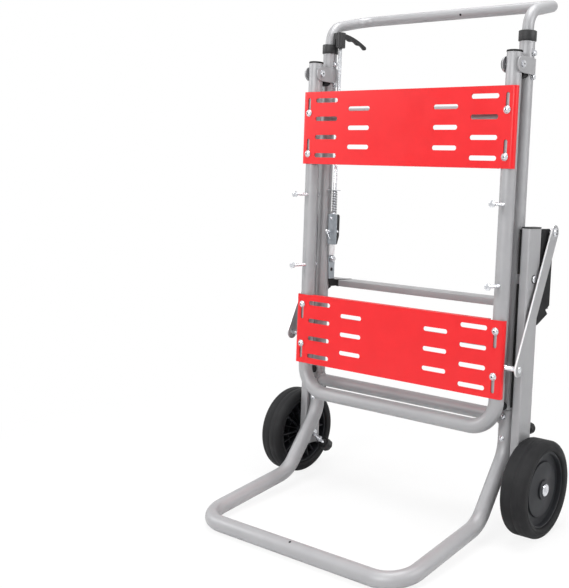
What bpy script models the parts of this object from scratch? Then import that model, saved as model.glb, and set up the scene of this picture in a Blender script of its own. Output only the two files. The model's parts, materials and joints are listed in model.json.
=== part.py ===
"""Folding stand for a bench saw that also works as an upright hand truck, shown folded upright.

The stand is drawn in the frame of its two legs: x across, y to the rear, z along the legs.
A root empty then leans that frame back, so that the toe loop and the tyres stand on the floor.
"""
import bpy
import bmesh
from math import atan2, cos, pi, radians, sin, tan
from mathutils import Matrix, Vector

# Driving sizes, in metres and radians
WHEEL_DIAMETER = 0.200
WHEEL_WIDTH = 0.0574
TRACK = 0.5146
TUBE_DIAMETER = 0.032
TUBE_WALL = 0.0015
LEAN = radians(4.115)
SEAT_GAP = 0.0003
RUNNING_GAP = 0.0003
OVERRUN = 0.010

# Legs and the toe loop that they stand in
LEG_FOOT_Z = 0.2535
LEG_TOP_Z = 0.9991
TOE_TUBE_DIAMETER = 0.033
TOE_KNEE_Z = 0.164
TOE_ANKLE_Y = -0.0965
TOE_ANKLE_Z = 0.0325
TOE_FRONT_Y = -0.361
TOE_KNEE_RADIUS = 0.070
TOE_CORNER_RADIUS = 0.060
CROSSBAR_DIAMETER = 0.028
UPPER_CROSSBAR_Z = 0.860
LOWER_CROSSBAR_Z = 0.2365

# Handle
HANDLE_DIAMETER = 0.024
HANDLE_INSERT = 0.0941
HANDLE_STRAIGHT = 0.004
HANDLE_BAR_Y = 0.125
HANDLE_BAR_RISE = 0.034
HANDLE_KNEE_RADIUS = 0.045
HANDLE_CORNER_RADIUS = 0.038
COLLAR_DIAMETER = 0.0364
COLLAR_HEIGHT = 0.0205

# Table frame and its hinge
TABLE_Y = -0.0477
HINGE_Z = 0.948
TABLE_HEAD = 0.0232
TABLE_BAR_Z = 0.2165
TABLE_CORNER_RADIUS = 0.060
CAP_THICKNESS = 0.003
CAP_PLUG_DEPTH = 0.010
CAP_PLUG_CLEARANCE = 0.0012
BRACKET_HEIGHT = 0.0326
BRACKET_THICKNESS = 0.003
PIN_DIAMETER = 0.008
PIN_HEAD_DIAMETER = 0.014
PIN_HEAD_HEIGHT = 0.003
HINGE_WASHER_DIAMETER = 0.028
HINGE_WASHER_THICKNESS = 0.0026
BUMPER_DIAMETER = 0.017
BUMPER_RISE = 0.009

# Saw bolts on the table frame
SAW_BOLT_HEIGHTS = (0.6738, 0.5122)
SAW_BOLT_DIAMETER = 0.0066
SAW_BOLT_STAND = 0.0435
SAW_BOLT_HEAD_DIAMETER = 0.012
SAW_BOLT_HEAD_HEIGHT = 0.008
SAW_BOLT_NUT_DIAMETER = 0.0115
SAW_BOLT_NUT_HEIGHT = 0.005

# Clamping panels
PANEL_SHEET = 0.002
PANEL_OVERHANG = 0.0184
PANEL_BEND_RADIUS = 0.008
PANEL_FLANGE_REAR_Y = -0.0552
PANEL_LIP_DEPTH = 0.016
UPPER_PANEL_BOTTOM_Z = 0.7436
UPPER_PANEL_HEIGHT = 0.1619
LOWER_PANEL_BOTTOM_Z = 0.2847
LOWER_PANEL_HEIGHT = 0.1585
PANEL_SLOT_WIDTH = 0.011
OUTER_SLOT_LENGTH = 0.064
OUTER_SLOT_INSET = 0.0513
OUTER_SLOT_PITCH = 0.0408
OUTER_SLOT_COUNT = 4
INNER_SLOT_LENGTH = 0.060
INNER_SLOT_INSET = 0.1439
INNER_SLOT_PITCH = 0.0417
INNER_SLOT_COUNT = 3
CLAMP_SLOT_WIDTH = 0.008
CLAMP_SLOT_LENGTH = 0.038
UPPER_CLAMP_HEIGHTS = (0.1145, 0.0226)
LOWER_CLAMP_HEIGHTS = (0.1361, 0.0447)

# Wheel frame
PIVOT_Y = 0.0085
PIVOT_Z = 0.525
AXLE_Y = 0.0085
ARM_INNER_OFFSET = 0.019
ARM_WIDTH = 0.020
ARM_FRONT_Y = -0.0165
ARM_REAR_Y = 0.0335
ARM_TOP_Z = 0.627
ARM_TAIL = 0.0249
ARM_CORNER_RADIUS = 0.0036
TRAY_DEPTH = 0.010
TRAY_SHEET = 0.002
TRAY_TOP_DROP = 0.001
TRAY_HEEL_Z = 0.460
TRAY_TOE_Z = 0.430
TRAY_TOP_REAR_Y = 0.094
TRAY_HEEL_REAR_Y = 0.104
BEAM_FRONT_Y = 0.034
BEAM_REAR_Y = 0.102
BEAM_BOTTOM_Z = 0.4575
BEAM_THICKNESS = 0.0125
STAY_DIAMETER = 0.014
STAY_Y = 0.026
STAY_Z = 0.378
PAD_DIAMETER = 0.024
PAD_THICKNESS = 0.020
PAD_RISE = 0.0091
AXLE_DIAMETER = 0.012
AXLE_CAP_DIAMETER = 0.025
AXLE_CAP_HEIGHT = 0.003
AXLE_NUT_DIAMETER = 0.018
AXLE_NUT_HEIGHT = 0.007

# Struts between the table frame and the trays
STRUT_INNER_OFFSET = 0.0445
STRUT_THICKNESS = 0.004
STRUT_WIDTH = 0.030
STRUT_FOOT_Z = 0.348
STRUT_HEAD_Y = 0.074
STRUT_HEAD_Z = 0.6225
STUD_DIAMETER = 0.012
STUD_NECK_DIAMETER = 0.008
STUD_HEAD_DIAMETER = 0.015
STRUT_BOLT_DIAMETER = 0.016
STRUT_BOLT_HEIGHT = 0.005
BOSS_DIAMETER = 0.016

# Wheels
TYRE_SHOULDER = 0.012
TYRE_DEPTH = 0.022
HUB_WIDTH = 0.045
HUB_BOSS_DIAMETER = 0.040
HUB_DISC_INSET = 0.0205
HUB_RIM_WALL = 0.0045
HUB_WEB = 0.006
HUB_RECESS = 0.010
HUB_RIB_COUNT = 5
HUB_RIB_WIDTH = 0.004
HUB_RIB_DEPTH = 0.022

# Lock on the left leg
ROD_INSET = 0.0298
ROD_DIAMETER = 0.008
ROD_TIP_DROP = 0.019
ROD_ENTRY = 0.0015
ROD_LIFT = 0.008
HOUSING_RISE = 0.035
HOUSING_HEIGHT = 0.0705
HOUSING_FRONT_Y = -0.012
HOUSING_REAR_Y = 0.018
HOUSING_REACH = 0.0403
HOUSING_EDGE_RADIUS = 0.003
GUIDE_RISE = 0.055
GUIDE_THICKNESS = 0.002
GUIDE_WIDTH = 0.018
GUIDE_REACH = 0.011
SPRING_WIRE = 0.0014
SPRING_MEAN_DIAMETER = 0.0108
SPRING_TURNS = 12
SPRING_POINTS_PER_TURN = 8
ROD_WASHER_DIAMETER = 0.013
ROD_WASHER_HEIGHT = 0.0012
LOCK_PLATE_INSET = 0.0268
LOCK_PLATE_THICKNESS = 0.004
LOCK_PLATE_NOSE_RADIUS = 0.013
LOCK_PLATE_HEEL_Y = 0.055
LOCK_PLATE_HEEL_HEIGHT = 0.012
LOCK_HOLE_DIAMETER = 0.009
LOCK_HOLE_DROP = 0.025
JAM_NUT_DIAMETER = 0.015
JAM_NUT_HEIGHT = 0.006
PIVOT_HEAD_HEIGHT = 0.0035

# Trigger at the handle
TRIGGER_DIAMETER = 0.022
TRIGGER_RISE = 0.0129
TRIGGER_HEIGHT = 0.034
TRIGGER_RIB_COUNT = 10
TRIGGER_RIB_HEIGHT = 0.0006
TRIGGER_SLOT_DEPTH = 0.0175
TRIGGER_SLOT_FRONT_Y = -0.0045
TRIGGER_ARM_WIDTH = 0.012
TRIGGER_ARM_THICKNESS = 0.0045
TRIGGER_BRIDGE_DEPTH = 0.014
LEVER_PIVOT_Y = 0.004
LEVER_PIVOT_DROP = 0.008
LEVER_THICKNESS = 0.009
LEVER_LENGTH = 0.090
LEVER_ROOT_DEPTH = 0.015
LEVER_TIP_DEPTH = 0.009
LEVER_DROOP = 0.018
LEVER_GROOVE_DEPTH = 0.0025
LEVER_GROOVE_COUNT = 3

# Levelling feet under the knees of the toe loop
FOOT_SCREW_DIAMETER = 0.008
FOOT_REACH = 0.0846
FOOT_ALONG_RUN = 0.0545
FOOT_KNOB_DIAMETER = 0.030
FOOT_KNOB_HEIGHT = 0.020
FOOT_NUT_DIAMETER = 0.014
FOOT_NUT_HEIGHT = 0.006
FOOT_NUT_REACH = 0.054
FOOT_SCREW_INSIDE = 0.012

# Facets
TUBE_BEVEL_RESOLUTION = 4
ARC_STEP = radians(15)
ROUND_SIDES = 18
SMALL_SIDES = 12
WHEEL_STEPS = 32
MERGE_DISTANCE = 0.00005

# Sizes that follow from the ones above
HALF_TRACK = TRACK / 2
TUBE_RADIUS = TUBE_DIAMETER / 2
TOE_RADIUS = TOE_TUBE_DIAMETER / 2
TOE_FRONT_Z = (TOE_RADIUS + sin(LEAN) * TOE_FRONT_Y) / cos(LEAN)
HANDLE_RADIUS = HANDLE_DIAMETER / 2
HANDLE_FOOT_Z = LEG_TOP_Z - HANDLE_INSERT
HANDLE_TURN = atan2(HANDLE_BAR_Y, HANDLE_BAR_RISE)
COLLAR_TOP_Z = LEG_TOP_Z + COLLAR_HEIGHT
HANDLE_KNEE_Z = COLLAR_TOP_Z + HANDLE_STRAIGHT + HANDLE_KNEE_RADIUS * tan(HANDLE_TURN / 2)
HANDLE_BAR_Z = HANDLE_KNEE_Z + HANDLE_BAR_RISE
TABLE_TOP_Z = HINGE_Z + TABLE_HEAD
BUMPER_Z = LEG_FOOT_Z + BUMPER_RISE
TABLE_FRONT_Y = TABLE_Y - TUBE_RADIUS
PIN_BORE_RADIUS = PIN_DIAMETER / 2 + RUNNING_GAP
PANEL_REAR_Y = TABLE_FRONT_Y - SEAT_GAP
PANEL_FRONT_Y = PANEL_REAR_Y - PANEL_SHEET
OUTER_SLOT_X = HALF_TRACK - OUTER_SLOT_INSET
INNER_SLOT_X = HALF_TRACK - INNER_SLOT_INSET
AXLE_Z = (WHEEL_DIAMETER / 2 + sin(LEAN) * AXLE_Y) / cos(LEAN)
ARM_BOTTOM_Z = AXLE_Z - ARM_TAIL
PAD_Z = AXLE_Z + WHEEL_DIAMETER / 2 + PAD_RISE
TRAY_TOP_Z = ARM_TOP_Z - TRAY_TOP_DROP
ARM_OUTER_OFFSET = ARM_INNER_OFFSET + ARM_WIDTH
ARM_CENTRE_OFFSET = ARM_INNER_OFFSET + ARM_WIDTH / 2
WHEEL_OFFSET = ARM_OUTER_OFFSET + 2 * SEAT_GAP + WHEEL_WIDTH / 2
STRUT_OUTER_OFFSET = STRUT_INNER_OFFSET + STRUT_THICKNESS
ROD_X = ROD_INSET - HALF_TRACK
LOCK_PLATE_X = LOCK_PLATE_INSET - HALF_TRACK
HOUSING_INNER_X = HOUSING_REACH - HALF_TRACK
HOUSING_BOTTOM_Z = PIVOT_Z + HOUSING_RISE
HOUSING_TOP_Z = HOUSING_BOTTOM_Z + HOUSING_HEIGHT
GUIDE_Z = HOUSING_TOP_Z + GUIDE_RISE
TRIGGER_BOTTOM_Z = LEG_TOP_Z + TRIGGER_RISE
TRIGGER_TOP_Z = TRIGGER_BOTTOM_Z + TRIGGER_HEIGHT
TRIGGER_SLOT_BOTTOM_Z = TRIGGER_TOP_Z - TRIGGER_SLOT_DEPTH
TRIGGER_BRIDGE_Z = TRIGGER_TOP_Z - TRIGGER_BRIDGE_DEPTH
LEVER_PIVOT_Z = TRIGGER_TOP_Z - LEVER_PIVOT_DROP
ROD_TIP_Z = HOUSING_BOTTOM_Z - ROD_TIP_DROP
ROD_TOP_Z = TRIGGER_BOTTOM_Z + ROD_ENTRY
REAR_LIMIT = cos(LEAN) * (HANDLE_BAR_Y + HANDLE_RADIUS) + sin(LEAN) * HANDLE_BAR_Z
FRONT_LIMIT = cos(LEAN) * TOE_FRONT_Y + sin(LEAN) * TOE_FRONT_Z - TOE_RADIUS
ORIGIN_SHIFT_Y = -(REAR_LIMIT + FRONT_LIMIT) / 2

# Turns that lay a shape drawn in its own xy plane, or along its own z, into the stand
UPRIGHT = (0, 0, 0)
ALONG_X = (0, pi / 2, 0)
ALONG_MINUS_X = (0, -pi / 2, 0)
ALONG_MINUS_Y = (pi / 2, 0, 0)
SIDEWAYS = (pi / 2, 0, pi / 2)
FACING_FRONT = (pi / 2, 0, 0)

PAINTS = {
    "tube_silver": ((0.40, 0.40, 0.41), 0.55, 0.38),
    "panel_red": ((0.80, 0.017, 0.028), 0.0, 0.35),
    "black_plastic": ((0.018, 0.018, 0.020), 0.0, 0.45),
    "rubber_black": ((0.016, 0.016, 0.017), 0.0, 0.75),
    "hub_grey": ((0.040, 0.041, 0.045), 0.0, 0.5),
    "zinc": ((0.68, 0.69, 0.71), 1.0, 0.28),
}

pivot_places = {}


def clear_scene():
    """Remove everything that the open file holds."""
    for obj in list(bpy.data.objects):
        bpy.data.objects.remove(obj, do_unlink=True)
    for group in list(bpy.data.collections):
        bpy.data.collections.remove(group)


def new_collection(name):
    """Make a collection in the scene."""
    group = bpy.data.collections.new(name)
    bpy.context.scene.collection.children.link(group)
    return group


def paint(name):
    """Give the named Principled material, made once."""
    found = bpy.data.materials.get(name)
    if found:
        return found
    colour, metallic, roughness = PAINTS[name]
    made = bpy.data.materials.new(name)
    made.use_nodes = True
    shader = made.node_tree.nodes["Principled BSDF"]
    shader.inputs["Base Color"].default_value = (*colour, 1)
    shader.inputs["Metallic"].default_value = metallic
    shader.inputs["Roughness"].default_value = roughness
    made.diffuse_color = (*colour, 1)
    return made


def add_pivot(name, place, parent):
    """Add an empty at a joint, at a place of the legs' frame."""
    empty = bpy.data.objects.new(name, None)
    parts.objects.link(empty)
    pivot_places[name] = Vector(place)
    if parent is None:
        empty.rotation_euler = (-LEAN, 0, 0)
        empty.location = (0, ORIGIN_SHIFT_Y, 0)
    else:
        empty.parent = parent
        empty.location = Vector(place) - pivot_places[parent.name]
    return empty


def place(obj, pivot, at=(0, 0, 0), turn=UPRIGHT):
    """Hang a piece on a pivot, with its own zero at a place of the legs' frame."""
    obj.parent = pivot
    obj.location = Vector(at) - pivot_places[pivot.name]
    obj.rotation_euler = turn
    return obj


def finish(obj, name, colour):
    """Name a piece, paint it and shade its round faces smooth."""
    obj.name = name
    obj.data.name = name
    obj.data.materials.clear()
    obj.data.materials.append(paint(colour))
    obj.data.shade_smooth()
    obj.data.set_sharp_from_angle(angle=radians(35))
    return obj


def object_from_bmesh(mesh_data, name):
    """Turn a bmesh into a linked object."""
    mesh = bpy.data.meshes.new(name)
    mesh_data.to_mesh(mesh)
    mesh_data.free()
    obj = bpy.data.objects.new(name, mesh)
    parts.objects.link(obj)
    return obj


def box(name, size):
    """A box about its own zero."""
    shape = bmesh.new()
    bmesh.ops.create_cube(shape, size=1, matrix=Matrix.Diagonal((*size, 1)))
    return object_from_bmesh(shape, name)


def cylinder(name, radius, length, sides=ROUND_SIDES):
    """A cylinder about its own zero, along its z."""
    shape = bmesh.new()
    bmesh.ops.create_cone(shape, cap_ends=True, segments=sides, radius1=radius, radius2=radius, depth=length)
    return object_from_bmesh(shape, name)


def turned(name, profile, steps=ROUND_SIDES, closed=False):
    """A turned shape: profile points are (radius, height), its outer side run from top to bottom."""
    mesh = bpy.data.meshes.new(name)
    count = len(profile)
    edges = [(i, i + 1) for i in range(count - 1)]
    if closed:
        edges.append((count - 1, 0))
    mesh.from_pydata([(radius, 0, height) for radius, height in profile], edges, [])
    obj = bpy.data.objects.new(name, mesh)
    parts.objects.link(obj)
    screw = obj.modifiers.new("turn", "SCREW")
    screw.axis = "Z"
    screw.angle = 2 * pi
    screw.steps = steps
    screw.render_steps = steps
    screw.use_merge_vertices = True
    screw.merge_threshold = MERGE_DISTANCE
    return obj


def mesh_from_curve(curve_obj, name):
    """Make a curve a mesh object with its caps welded on, and remove the curve."""
    bpy.context.view_layer.update()
    graph = bpy.context.evaluated_depsgraph_get()
    mesh = bpy.data.meshes.new_from_object(curve_obj.evaluated_get(graph))
    shape = bmesh.new()
    shape.from_mesh(mesh)
    bmesh.ops.remove_doubles(shape, verts=shape.verts, dist=MERGE_DISTANCE)
    shape.to_mesh(mesh)
    shape.free()
    obj = bpy.data.objects.new(name, mesh)
    obj.matrix_world = curve_obj.matrix_world
    parts.objects.link(obj)
    bpy.data.objects.remove(curve_obj, do_unlink=True)
    return obj


def poly_curve(name, loops, cyclic, dimensions):
    """A curve object of straight splines through the given points."""
    curve = bpy.data.curves.new(name, "CURVE")
    curve.dimensions = dimensions
    for loop in loops:
        spline = curve.splines.new("POLY")
        spline.points.add(len(loop) - 1)
        for point, where in zip(spline.points, loop):
            point.co = (*where, 0, 1) if len(where) == 2 else (*where, 1)
        spline.use_cyclic_u = cyclic
    obj = bpy.data.objects.new(name, curve)
    parts.objects.link(obj)
    return obj


def sheet(name, loops, thickness):
    """A flat piece: an outline with holes in its own xy plane, as thick as given about zero."""
    obj = poly_curve(name, loops, True, "2D")
    obj.data.fill_mode = "BOTH"
    obj.data.extrude = thickness / 2
    return mesh_from_curve(obj, name)


def pipe(name, points, radius, wall):
    """A bent tube with open ends and a real wall."""
    obj = poly_curve(name, [points], False, "3D")
    obj.data.bevel_depth = radius
    obj.data.bevel_resolution = TUBE_BEVEL_RESOLUTION
    tube = mesh_from_curve(obj, name)
    shell = tube.modifiers.new("wall", "SOLIDIFY")
    shell.thickness = wall
    shell.offset = -1
    return tube


def wire(name, points, radius, resolution):
    """A round wire with closed ends."""
    obj = poly_curve(name, [points], False, "3D")
    obj.data.bevel_depth = radius
    obj.data.bevel_resolution = resolution
    obj.data.use_fill_caps = True
    return mesh_from_curve(obj, name)


def bent_path(corners, radii):
    """Points of a path through corners, each rounded with its own radius."""
    points = [Vector(corners[0])]
    for before, corner, after, radius in zip(corners, corners[1:], corners[2:], radii):
        corner = Vector(corner)
        arriving = (corner - Vector(before)).normalized()
        leaving = (Vector(after) - corner).normalized()
        turn = arriving.angle(leaving)
        tangent = radius * tan(turn / 2)
        normal = (leaving - arriving * arriving.dot(leaving)).normalized()
        centre = corner - arriving * tangent + normal * radius
        steps = max(2, round(turn / ARC_STEP))
        for i in range(steps + 1):
            angle = turn * i / steps
            points.append(centre - normal * radius * cos(angle) + arriving * radius * sin(angle))
    points.append(Vector(corners[-1]))
    return points


def arc(centre, radius, start, end, steps):
    """Points of an arc in the plane, angles in radians."""
    angles = [start + (end - start) * i / steps for i in range(steps + 1)]
    return [(centre[0] + radius * cos(t), centre[1] + radius * sin(t)) for t in angles]


def circle(centre, radius, sides=SMALL_SIDES):
    """A closed round outline."""
    return arc(centre, radius, 0, 2 * pi, sides)[:-1]


def rounded_box(low, high, radius, steps=3):
    """A closed rectangle with round corners."""
    outline = []
    corners = ((high[0], high[1], 0), (low[0], high[1], 1), (low[0], low[1], 2), (high[0], low[1], 3))
    for x, y, quarter in corners:
        centre = (x - radius if quarter in (0, 3) else x + radius, y - radius if quarter < 2 else y + radius)
        outline += arc(centre, radius, quarter * pi / 2, (quarter + 1) * pi / 2, steps)
    return outline


def capsule(start, end, radius, steps=8):
    """A closed outline with a round end about each of two points."""
    along = atan2(end[1] - start[1], end[0] - start[0])
    return arc(end, radius, along - pi / 2, along + pi / 2, steps) + arc(
        start, radius, along + pi / 2, along + 3 * pi / 2, steps)


def as_cutter(obj):
    """Keep a tool shape out of the model."""
    parts.objects.unlink(obj)
    cutters.objects.link(obj)
    obj.hide_render = True
    obj.display_type = "WIRE"
    return obj


def combine(obj, tool, operation):
    """Cut, join or trim a piece with a tool shape."""
    as_cutter(tool)
    step = obj.modifiers.new(operation.lower(), "BOOLEAN")
    step.operation = operation
    step.solver = "EXACT"
    step.object = tool
    return obj


def bore(obj, pivot, at, turn, radius, length, sides=SMALL_SIDES):
    """Cut a round hole, centred at a place of the legs' frame."""
    tool = place(cylinder(obj.name + "_bore", radius, length, sides), pivot, at, turn)
    return combine(obj, tool, "DIFFERENCE")


def side_name(side):
    """The name of the side of the stand, with +x to the right."""
    return "right" if side > 0 else "left"


def build_leg(side):
    """A straight leg tube, bored for the wheel frame's pivot bolt."""
    path = [(0, 0, LEG_FOOT_Z + SEAT_GAP), (0, 0, LEG_TOP_Z - SEAT_GAP)]
    leg = place(pipe("leg", path, TUBE_RADIUS, TUBE_WALL), root, (side * HALF_TRACK, 0, 0))
    bore(leg, root, (side * HALF_TRACK, PIVOT_Y, PIVOT_Z), ALONG_X, PIN_BORE_RADIUS, TUBE_DIAMETER + OVERRUN)
    return finish(leg, "leg_" + side_name(side), "tube_silver")


def run_direction():
    """Direction of the toe loop's sloping run, and the foot's direction square to it, in (y, z)."""
    run = Vector((TOE_ANKLE_Y, TOE_ANKLE_Z - TOE_KNEE_Z)).normalized()
    return run, Vector((-run.y, run.x))


def foot_place(reach):
    """The (y, z) place on a levelling foot's axis, counted from the tube's centre line."""
    run, out = run_direction()
    return Vector((0, TOE_KNEE_Z)) + run * FOOT_ALONG_RUN + out * reach


def foot_turn():
    """The turn that lays z along a levelling foot, away from the tube."""
    out = run_direction()[1]
    return (atan2(-out.x, out.y), 0, 0)


def build_toe_loop():
    """The bent tube that the legs stand in, with its long toe on the floor."""
    half = [
        (HALF_TRACK, 0, LEG_FOOT_Z),
        (HALF_TRACK, 0, TOE_KNEE_Z),
        (HALF_TRACK, TOE_ANKLE_Y, TOE_ANKLE_Z),
        (HALF_TRACK, TOE_FRONT_Y, TOE_FRONT_Z),
    ]
    corners = [(-x, y, z) for x, y, z in half] + half[::-1]
    radii = [TOE_KNEE_RADIUS, TOE_KNEE_RADIUS, TOE_CORNER_RADIUS]
    loop = place(pipe("toe_loop", bent_path(corners, radii + radii[::-1]), TOE_RADIUS, TUBE_WALL), root)
    for side in (-1, 1):
        y, z = foot_place(TOE_RADIUS)
        radius = FOOT_SCREW_DIAMETER / 2 + RUNNING_GAP
        bore(loop, root, (side * HALF_TRACK, y, z), foot_turn(), radius, TOE_RADIUS)
    return finish(loop, "toe_loop", "tube_silver")


def build_crossbar(name, height, leg_radius):
    """A round crossbar, coped to the tubes that it is welded between."""
    path = [(-HALF_TRACK, 0, height), (HALF_TRACK, 0, height)]
    bar = place(pipe(name, path, CROSSBAR_DIAMETER / 2, TUBE_WALL), root)
    for side in (-1, 1):
        tool = cylinder(name + "_cope", leg_radius + SEAT_GAP, CROSSBAR_DIAMETER + OVERRUN, ROUND_SIDES)
        combine(bar, place(tool, root, (side * HALF_TRACK, 0, height)), "DIFFERENCE")
    return finish(bar, name, "tube_silver")


def build_handle():
    """The U-shaped handle, its two ends inside the legs."""
    half = [
        (HALF_TRACK, 0, HANDLE_FOOT_Z),
        (HALF_TRACK, 0, HANDLE_KNEE_Z),
        (HALF_TRACK, HANDLE_BAR_Y, HANDLE_BAR_Z),
    ]
    corners = [(-x, y, z) for x, y, z in half] + half[::-1]
    radii = [HANDLE_KNEE_RADIUS, HANDLE_CORNER_RADIUS, HANDLE_CORNER_RADIUS, HANDLE_KNEE_RADIUS]
    handle = place(pipe("handle_tube", bent_path(corners, radii), HANDLE_RADIUS, TUBE_WALL), root)
    return finish(handle, "handle_tube", "tube_silver")


def build_collar(side):
    """The plastic collar that closes a leg round the handle tube."""
    outer = COLLAR_DIAMETER / 2
    inner = HANDLE_RADIUS + SEAT_GAP
    edge = SEAT_GAP * 3
    profile = [
        (inner, COLLAR_HEIGHT),
        (outer - edge, COLLAR_HEIGHT),
        (outer, COLLAR_HEIGHT - edge),
        (outer, edge),
        (outer - edge, 0),
        (inner, 0),
    ]
    ring = place(turned("collar", profile, closed=True), root, (side * HALF_TRACK, 0, LEG_TOP_Z))
    return finish(ring, "collar_" + side_name(side), "black_plastic")


def build_hinge_bracket(side):
    """A strap round the leg whose two cheeks hold the table frame's hinge pin."""
    inner = TUBE_RADIUS + SEAT_GAP
    outer = inner + BRACKET_THICKNESS
    nose = TABLE_Y - BRACKET_HEIGHT / 2
    outline = [(outer, nose)] + arc((0, 0), outer, 0, pi, 16) + [(-outer, nose)]
    outline += [(-inner, nose)] + arc((0, 0), inner, pi, 0, 16) + [(inner, nose)]
    at = (side * HALF_TRACK, 0, HINGE_Z)
    strap = place(sheet("hinge_bracket", [outline], BRACKET_HEIGHT), root, at)
    shape = capsule((TABLE_Y, HINGE_Z), (outer + BRACKET_HEIGHT, HINGE_Z), BRACKET_HEIGHT / 2)
    tool = place(sheet("bracket_form", [shape], TUBE_DIAMETER * 2), root, (side * HALF_TRACK, 0, 0), SIDEWAYS)
    combine(strap, tool, "INTERSECT")
    bore(strap, root, (side * HALF_TRACK, TABLE_Y, HINGE_Z), ALONG_X, PIN_BORE_RADIUS, TUBE_DIAMETER * 2)
    return finish(strap, "hinge_bracket_" + side_name(side), "tube_silver")


def build_hinge_pin(side):
    """The hinge bolt with its head towards +x and its nut over the black washer."""
    cheek = TUBE_RADIUS + SEAT_GAP + BRACKET_THICKNESS + SEAT_GAP
    washer = cheek + HINGE_WASHER_THICKNESS + SEAT_GAP
    shank = PIN_DIAMETER / 2
    head = PIN_HEAD_DIAMETER / 2
    profile = [
        (0, cheek + PIN_HEAD_HEIGHT),
        (head, cheek + PIN_HEAD_HEIGHT),
        (head, cheek),
        (shank, cheek),
        (shank, -washer),
        (head, -washer),
        (head, -washer - PIN_HEAD_HEIGHT),
        (0, -washer - PIN_HEAD_HEIGHT),
    ]
    at = (side * HALF_TRACK, TABLE_Y, HINGE_Z)
    pin = place(turned("hinge_pin", profile, SMALL_SIDES), root, at, ALONG_X)
    finish(pin, "hinge_pin_" + side_name(side), "zinc")
    disc = sheet("hinge_washer", [circle((0, 0), HINGE_WASHER_DIAMETER / 2, ROUND_SIDES),
                                  circle((0, 0), PIN_BORE_RADIUS)], HINGE_WASHER_THICKNESS)
    x = side * HALF_TRACK - cheek - HINGE_WASHER_THICKNESS / 2
    place(disc, root, (x, TABLE_Y, HINGE_Z), ALONG_X)
    return finish(disc, "hinge_washer_" + side_name(side), "black_plastic")


def build_bumper(side):
    """The rubber bumper that the table frame rests on when folded."""
    front = TABLE_Y + TUBE_RADIUS + SEAT_GAP
    rear = -TUBE_RADIUS - SEAT_GAP
    bumper = cylinder("bumper", BUMPER_DIAMETER / 2, rear - front)
    place(bumper, root, (side * HALF_TRACK, (front + rear) / 2, BUMPER_Z), ALONG_MINUS_Y)
    return finish(bumper, "bumper_" + side_name(side), "rubber_black")


def build_foot(side):
    """A levelling foot: a long screw with a lock nut and a moulded knob."""
    screw = FOOT_SCREW_DIAMETER / 2
    knob = FOOT_KNOB_DIAMETER / 2
    nut = FOOT_NUT_DIAMETER / 2
    edge = FOOT_KNOB_HEIGHT / 8
    low = FOOT_REACH - FOOT_KNOB_HEIGHT / 2
    high = FOOT_REACH + FOOT_KNOB_HEIGHT / 2
    profile = [
        (0, high),
        (knob - edge, high),
        (knob, high - edge),
        (knob, low + edge),
        (knob - edge, low),
        (screw, low),
        (screw, FOOT_NUT_REACH + FOOT_NUT_HEIGHT / 2),
        (nut, FOOT_NUT_REACH + FOOT_NUT_HEIGHT / 2),
        (nut, FOOT_NUT_REACH - FOOT_NUT_HEIGHT / 2),
        (screw, FOOT_NUT_REACH - FOOT_NUT_HEIGHT / 2),
        (screw, TOE_RADIUS - FOOT_SCREW_INSIDE),
        (0, TOE_RADIUS - FOOT_SCREW_INSIDE),
    ]
    y, z = foot_place(0)
    pivot = add_pivot("foot_slide_" + side_name(side), (side * HALF_TRACK, y, z), root)
    foot = place(turned("foot", profile), pivot, (side * HALF_TRACK, y, z), foot_turn())
    return finish(foot, "foot_" + side_name(side), "black_plastic")


def build_pivot_bolt(side):
    """The bolt that the wheel frame turns on; on the left it also carries the lock plate."""
    shank = PIN_DIAMETER / 2
    head = JAM_NUT_DIAMETER / 2
    arm = ARM_OUTER_OFFSET + SEAT_GAP
    nut = TUBE_RADIUS + SEAT_GAP
    plate = HALF_TRACK + LOCK_PLATE_X
    if side < 0:
        nut_end = plate - LOCK_PLATE_THICKNESS / 2 - SEAT_GAP
        end = plate + LOCK_PLATE_THICKNESS / 2 + SEAT_GAP
    else:
        nut_end = nut + JAM_NUT_HEIGHT
        end = nut_end + SEAT_GAP
    profile = [
        (0, arm + PIVOT_HEAD_HEIGHT),
        (head, arm + PIVOT_HEAD_HEIGHT),
        (head, arm),
        (shank, arm),
        (shank, -nut),
        (head, -nut),
        (head, -nut_end),
        (shank, -nut_end),
        (shank, -end),
        (0, -end),
    ]
    at = (side * HALF_TRACK, PIVOT_Y, PIVOT_Z)
    bolt = place(turned("pivot_bolt", profile, SMALL_SIDES), root, at, ALONG_X if side > 0 else ALONG_MINUS_X)
    return finish(bolt, "pivot_bolt_" + side_name(side), "zinc")


def leg_cutter(name, length, z):
    """The left leg's space, to seat a piece against the leg."""
    tool = cylinder(name, TUBE_RADIUS + SEAT_GAP, length, ROUND_SIDES)
    return place(tool, root, (-HALF_TRACK, 0, z))


def build_lock_housing():
    """The zinc block on the left leg that the lock rod runs through."""
    low = (-HALF_TRACK + TUBE_RADIUS / 2, HOUSING_FRONT_Y)
    high = (HOUSING_INNER_X, HOUSING_REAR_Y)
    hole = circle((ROD_X, 0), ROD_DIAMETER / 2 + RUNNING_GAP)
    height = HOUSING_TOP_Z - HOUSING_BOTTOM_Z
    middle = (HOUSING_TOP_Z + HOUSING_BOTTOM_Z) / 2
    block = sheet("lock_housing", [rounded_box(low, high, HOUSING_EDGE_RADIUS), hole], height)
    place(block, root, (0, 0, middle))
    combine(block, leg_cutter("housing_seat", height + OVERRUN, middle), "DIFFERENCE")
    return finish(block, "lock_housing", "zinc")


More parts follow.
